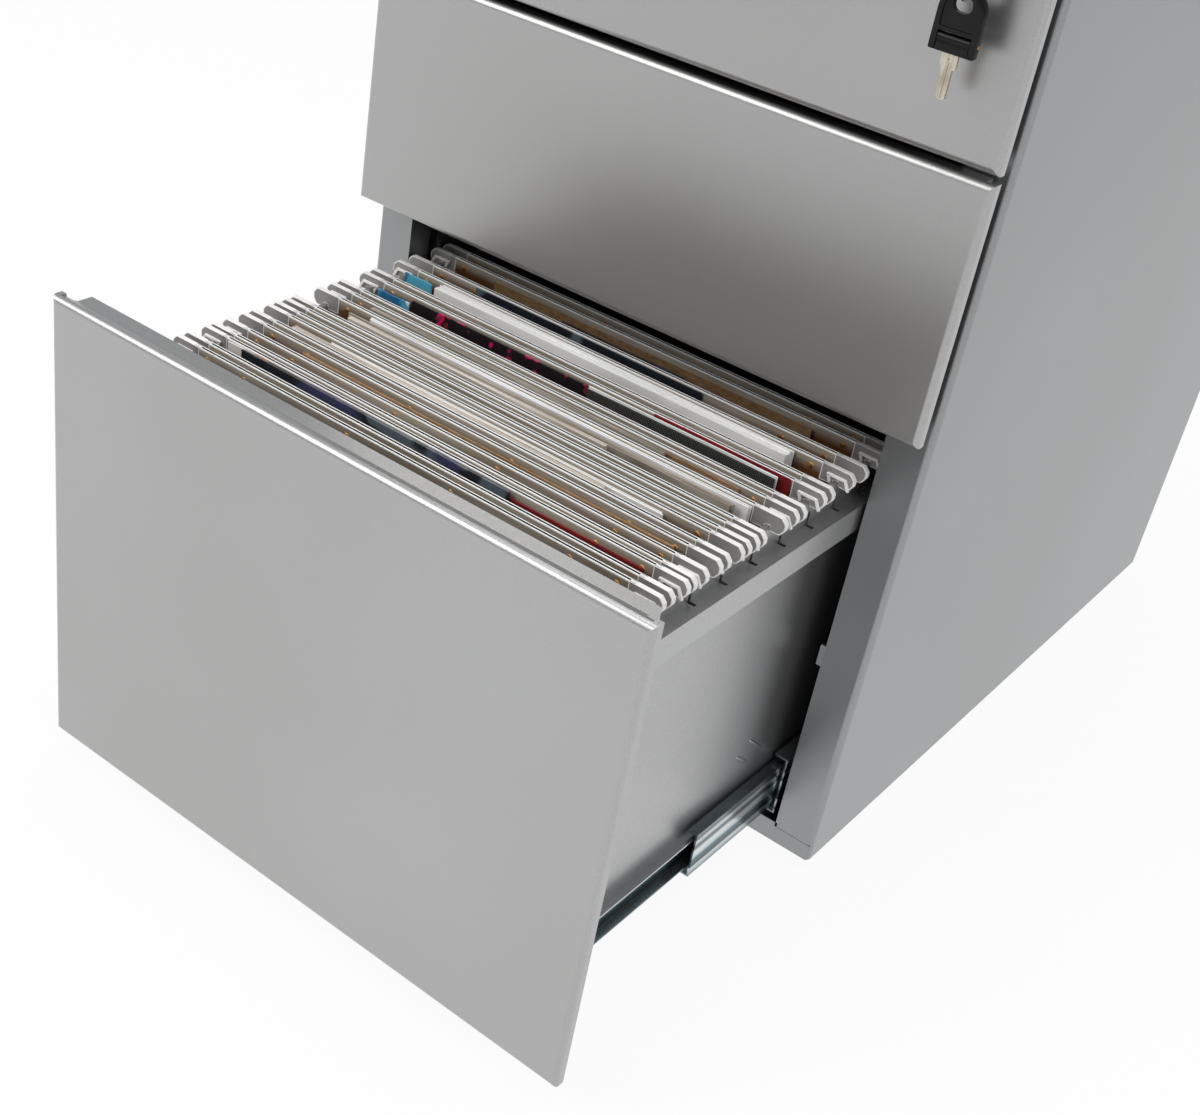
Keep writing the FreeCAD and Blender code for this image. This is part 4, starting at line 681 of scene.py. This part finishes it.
def pressed_marks():
    """Short ridges on the tray's sides: half of a long, flat ellipsoid laid along each mark."""
    made = Mesh()
    t = np.linspace(0, math.pi / 2, 6)[:, None]
    turn = np.linspace(0, 2 * math.pi, 24, endpoint=False)[None, :]
    for side in (-1, 1):
        for (y0, z0), (y1, z1) in PRESSED_MARKS:
            length = math.hypot(y1 - y0, z1 - z0)
            along_y, along_z = (y1 - y0) / length, (z1 - z0) / length
            a, b = length * 0.42 * np.cos(t) * np.cos(turn), 1.4 * np.cos(t) * np.sin(turn)
            x = (TRAY_SIDE + 1.0 * np.sin(t) * np.ones_like(turn)) * side
            points = np.stack([x, (y0 + y1) / 2 + along_y * a - along_z * b,
                               (z0 + z1) / 2 + along_z * a + along_y * b], -1).reshape(-1, 3)
            made.add(points, grid_faces(6, 24) + [list(range(24))])
    return outward(made.piece("tray_pressed_marks", silver, "file_drawer", "silver_paint"))


pressed_marks()
file_bars()
end_hooks()
link_clips()
file_rivets()
pockets()
filed_papers()


# Keys
def flat_ring(outline, low, high, bevel):
    """Rows of an outline drawn in at both faces: the section of a moulded plate with rounded rims."""
    centre = outline.mean(0)
    rows = []
    for level, draw in ((low, bevel), (low + bevel * 0.3, bevel * 0.3), (low + bevel, 0),
                        (high - bevel, 0), (high - bevel * 0.3, bevel * 0.3), (high, bevel)):
        away = outline - centre
        rows.append((outline - away / np.linalg.norm(away, axis=1)[:, None] * draw, level))
    return rows


def bow_outline(axis, up):
    """The arch: straight cheeks below and a half circle above, in the plane of the front."""
    foot, tip = axis - BOW_FOOT * up, axis + BOW_TIP * up
    low, high = KEY_X - BOW_HALF, KEY_X + BOW_HALF
    return rounded([(low, foot), (high, foot), (high, tip), (low, tip)], [1.0, 1.0, BOW_RADIUS, BOW_RADIUS], 14)


def key_bow(name, axis, up, body, replaced):
    """A moulded arch, cut through by an oblong hole and by the notch of the hinge, with a raised rim."""
    made = Mesh()
    outline = bow_outline(axis, up)
    rows = flat_ring(outline, KEY_Y - BOW_THICK, KEY_Y + BOW_THICK, 0.7)
    n = len(outline)
    points = np.concatenate([np.column_stack([r[:, 0], np.full(n, y), r[:, 1]]) for r, y in rows])
    made.add(points, grid_faces(len(rows), n) + [list(range(n))[::-1], list(range(5 * n, 6 * n))])
    bow = outward(made.piece(name, black, body, "black_plastic", replaced))

    def opening(half, near, far):
        """Corners of an oblong across the key, between two distances from the hinge's axis."""
        near, far = axis + near * up, axis + far * up
        return [(KEY_X - half, near), (KEY_X + half, near), (KEY_X + half, far), (KEY_X - half, far)]

    hole = rounded(opening(5.25, BOW_TIP - 12.4, BOW_TIP - 5), 3.5, 8)
    notch = np.array(opening(9.15, -8, 3.5))
    recess = rounded(opening(9.4, 5.4, 22.6), [0.8, 0.8, 8.4, 8.4], 10)
    past = BOW_THICK + 1.5
    for outline, low, high in ((hole, -past, past), (notch, -past, past), (recess, -past, -1.8), (recess, 1.8, past)):
        tool = Mesh()
        tool.add(*prism([(z, x) for x, z in outline], KEY_Y + low, KEY_Y + high, "y"))
        carve(bow, tool)
    return bow


# Edge of the blade: shares of its half width and of its length from the hinge, round the teeth to the straight back
BLADE_EDGE = np.array([
    (-1, 0.2), (-1, 0.4), (-0.8, 0.46), (-0.75, 0.55), (-0.45, 0.63), (-0.78, 0.7), (-0.82, 0.79), (-0.55, 0.85),
    (-0.55, 0.92), (-0.2, 1), (0.3, 1), (0.6, 0.96), (0.6, 0.47), (0.95, 0.45), (0.95, 0.2)])


def key_blade(name, axis, forwards, body, replaced):
    """Toothed blade, milled with a groove when it hangs folded down: its outline is the CAD model's, bevelled by
    drawing both faces in.
    """
    made = Mesh()
    outline = rounded(BLADE_EDGE * (BLADE_HALF, BLADE_LENGTH), 0.2, 3)
    rows = [(-BLADE_THICK, 0.22), (0.22 - BLADE_THICK, 0), (BLADE_THICK - 0.22, 0), (BLADE_THICK, 0.22)]
    centre = np.array([0.5, 18])
    n = len(outline)
    points = []
    for level, draw in rows:
        away = outline - centre
        flat = outline - away / np.linalg.norm(away, axis=1)[:, None] * draw
        if forwards:
            points.append(np.column_stack([KEY_X + flat[:, 0], KEY_Y + flat[:, 1], np.full(n, axis + level)]))
        else:
            points.append(np.column_stack([KEY_X + flat[:, 0], np.full(n, KEY_Y + level), axis - flat[:, 1]]))
    made.add(np.concatenate(points), grid_faces(4, n) + [list(range(n))[::-1], list(range(3 * n, 4 * n))])
    blade = outward(made.piece(name, blade_metal, body, "key_brass", replaced, smooth=35))
    if not forwards:
        for x0, x1, z0, z1 in ((0.1, 1.5, 10.5, 27.8), (-0.4, 0.4, 8.4, 9.3)):
            for y0, y1 in ((-3, -0.55), (0.55, 3)):
                tool = Mesh()
                tool.add(*prism([(axis - z1, KEY_X + x0), (axis - z0, KEY_X + x0), (axis - z0, KEY_X + x1),
                                 (axis - z1, KEY_X + x1)], KEY_Y + y0, KEY_Y + y1, "y"))
                carve(blade, tool)
    return blade


def key_head(name, axis, forwards, body):
    """The moulded block on the blade that turns between the cheeks: a box with a half-round hinge end."""
    t = np.linspace(-math.pi / 2, math.pi / 2, 13)
    rim = [(-2.8 * math.cos(a), 2.8 * math.sin(a)) for a in t]
    square = [(1.2, BOW_THICK), (BOW_FOOT, BOW_THICK), (BOW_FOOT, -BOW_THICK), (1.2, -BOW_THICK)]
    outline = np.array(rim + list(rounded(square, [0.01, 0.5, 0.5, 0.01], 4)))
    made = Mesh()
    rows = [(-HEAD_HALF, 0.4), (0.3 - HEAD_HALF, 0.05), (HEAD_HALF - 0.3, 0.05), (HEAD_HALF, 0.4)]
    n = len(outline)
    points = []
    for x, draw in rows:
        flat = outline - (outline - (2, 0)) / np.linalg.norm(outline - (2, 0), axis=1)[:, None] * draw
        if forwards:
            points.append(np.column_stack([np.full(n, KEY_X + x), KEY_Y + flat[:, 0], axis + flat[:, 1]]))
        else:
            points.append(np.column_stack([np.full(n, KEY_X + x), KEY_Y + flat[:, 1], axis - flat[:, 0]]))
    made.add(np.concatenate(points), grid_faces(4, n) + [list(range(n))[::-1], list(range(3 * n, 4 * n))])
    return outward(made.piece(name, black, body, "black_plastic", smooth=40))


def hinge_pin(name, axis, body):
    """Brass pin across the bow: a thin rod whose domed ends stand proud of the cheeks."""
    made = Mesh()
    turn = np.linspace(0, 2 * math.pi, 16, endpoint=False)
    ring = np.column_stack([KEY_Y + PIN_RADIUS * np.cos(turn), axis + PIN_RADIUS * np.sin(turn)])
    made.add(*prism(ring, KEY_X - PIN_HALF, KEY_X + PIN_HALF))
    for s in (-1, 1):
        made.add(*dome((KEY_X + (PIN_HALF - 0.1) * s, KEY_Y, axis), 0.9, 0.35, "x", s))
    return outward(made.piece(name, rivet_metal, body, "key_brass"))


key_bow("main_bow", LOCK_Z, -1, "main_key_bow", ["main_key_bow"])
key_bow("spare_bow", SPARE_Z, 1, "spare_key", ["spare_key_bow"])
key_blade("main_blade", LOCK_Z, True, "lock_barrel", ["main_key_blade"])
key_blade("spare_blade", SPARE_Z, False, "spare_blade", ["spare_key_blade"])
key_head("main_head", LOCK_Z, True, "lock_barrel")
key_head("spare_head", SPARE_Z, False, "spare_blade")
hinge_pin("main_hinge_pin", LOCK_Z, "main_key_bow")
hinge_pin("spare_hinge_pin", SPARE_Z, "spare_key")
ring = Mesh()
ring.add(*torus((KEY_X, KEY_Y, WIRE_TOP - RING_RADIUS), RING_RADIUS, RING_WIRE))
outward(ring.piece("split_ring", chrome, "key_ring", "lock_chrome", ["key_ring"]))


# Finishes of the CAD pieces
NODE_FINISH = {
    # The case panels take the darker, bluer copy of the powder coat, as painted shade
    "side_panel": silver_case_painted_shade, "base_pan": silver_case_painted_shade, "top_panel": silver_case_painted_shade, "back_panel": silver_case_painted_shade,
    "drawer_front": silver, "drawer_tray": silver, "file_slide": rails["file"], "middle_slide": rails["middle"],
    "top_slide": rails["top"], "uprights": zinc_dull, "glide_nuts": zinc_dull,
    "fixings": zinc_dull, "drawer_catch": zinc_dull, "lock_bar": zinc_dull, "slide_front_stops": black,
    "lock_bar_guides": black, "slide_fixings": zinc_dull, "levelling_glide": black, "lock_housing": chrome,
    "lock_nut": chrome, "lock_barrel": chrome,
}
for node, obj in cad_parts.items():
    if obj.hide_render:
        continue
    fits = [word for word in NODE_FINISH if word in node]
    best = max(fits, key=len)
    obj.data.materials.clear()
    obj.data.materials.append(NODE_FINISH[best].material)


# Floor, backdrop and light
def pale_stage():
    """A wide pale floor, white to the camera and to reflections, that keeps a soft shadow."""
    floor = Finish("pale_floor")
    tree = floor.tree
    floor.paint(Base_Color=(0.86, 0.86, 0.86, 1), Roughness=0.7)
    glow = floor.node("Emission", None, {"Color": (1, 1, 1, 1), "Strength": 1.0})
    path = tree.nodes.new("ShaderNodeLightPath")
    seen = floor.math("MAXIMUM", Value(floor, path.outputs["Is Camera Ray"]),
                      floor.math("MAXIMUM", Value(floor, path.outputs["Is Glossy Ray"]),
                                 Value(floor, path.outputs["Is Transmission Ray"])))
    both = floor.node("MixShader", None, {0: seen * 0.93, 1: Value(floor, floor.shader.outputs[0]), 2: glow})
    output = next(n for n in tree.nodes if n.type == "OUTPUT_MATERIAL")
    tree.links.new(both.socket, output.inputs["Surface"])
    half = 6.0
    data = bpy.data.meshes.new("floor")
    data.from_pydata([(-half, -half, 0), (half, -half, 0), (half, half, 0), (-half, half, 0)], [], [[0, 1, 2, 3]])
    made = bpy.data.objects.new("floor", data)
    data.materials.append(floor.material)
    bpy.context.scene.collection.objects.link(made)


def studio_light():
    """Plain soft light: one wide lamp high on the left, a weaker one on the right and an even world."""
    for name, place, aim, size, power, shade in (
            ("key_light", (-1.9, -2.2, 2.5), (0, -0.1, 0.3), 2.2, 60, (1.0, 0.98, 0.955)),
            ("fill_light", (2.6, -1.2, 1.5), (0, 0, 0.3), 2.0, 14, (0.97, 0.98, 1.0)),
            ("top_light", (0.1, 0.2, 3.0), (0, 0, 0.3), 2.4, 46, (1.0, 1.0, 1.0))):
        data = bpy.data.lights.new(name, "AREA")
        data.size, data.energy, data.color = size, power, shade
        lamp = bpy.data.objects.new(name, data)
        lamp.location = place
        direction = np.array(aim, float) - np.array(place, float)
        lamp.rotation_mode = "QUATERNION"
        lamp.rotation_quaternion = Vector(direction).to_track_quat("-Z", "Y")
        bpy.context.scene.collection.objects.link(lamp)
    world = bpy.data.worlds.new("studio")
    world.use_nodes = True
    tree = world.node_tree
    path = tree.nodes.new("ShaderNodeLightPath")
    plain, seen = tree.nodes["Background"], tree.nodes.new("ShaderNodeBackground")
    plain.inputs["Color"].default_value, plain.inputs["Strength"].default_value = (0.96, 0.98, 1.0, 1), 0.42
    seen.inputs["Color"].default_value, seen.inputs["Strength"].default_value = (1, 1, 1, 1), 1.0
    greatest = tree.nodes.new("ShaderNodeMath")
    greatest.operation = "MAXIMUM"
    tree.links.new(path.outputs["Is Camera Ray"], greatest.inputs[0])
    tree.links.new(path.outputs["Is Transmission Ray"], greatest.inputs[1])
    mixed = tree.nodes.new("ShaderNodeMixShader")
    tree.links.new(greatest.outputs[0], mixed.inputs[0])
    tree.links.new(plain.outputs[0], mixed.inputs[1])
    tree.links.new(seen.outputs[0], mixed.inputs[2])
    tree.links.new(mixed.outputs[0], tree.nodes["World Output"].inputs["Surface"])
    bpy.context.scene.world = world
    bpy.context.scene.view_settings.view_transform = "Standard"


pale_stage()
studio_light()
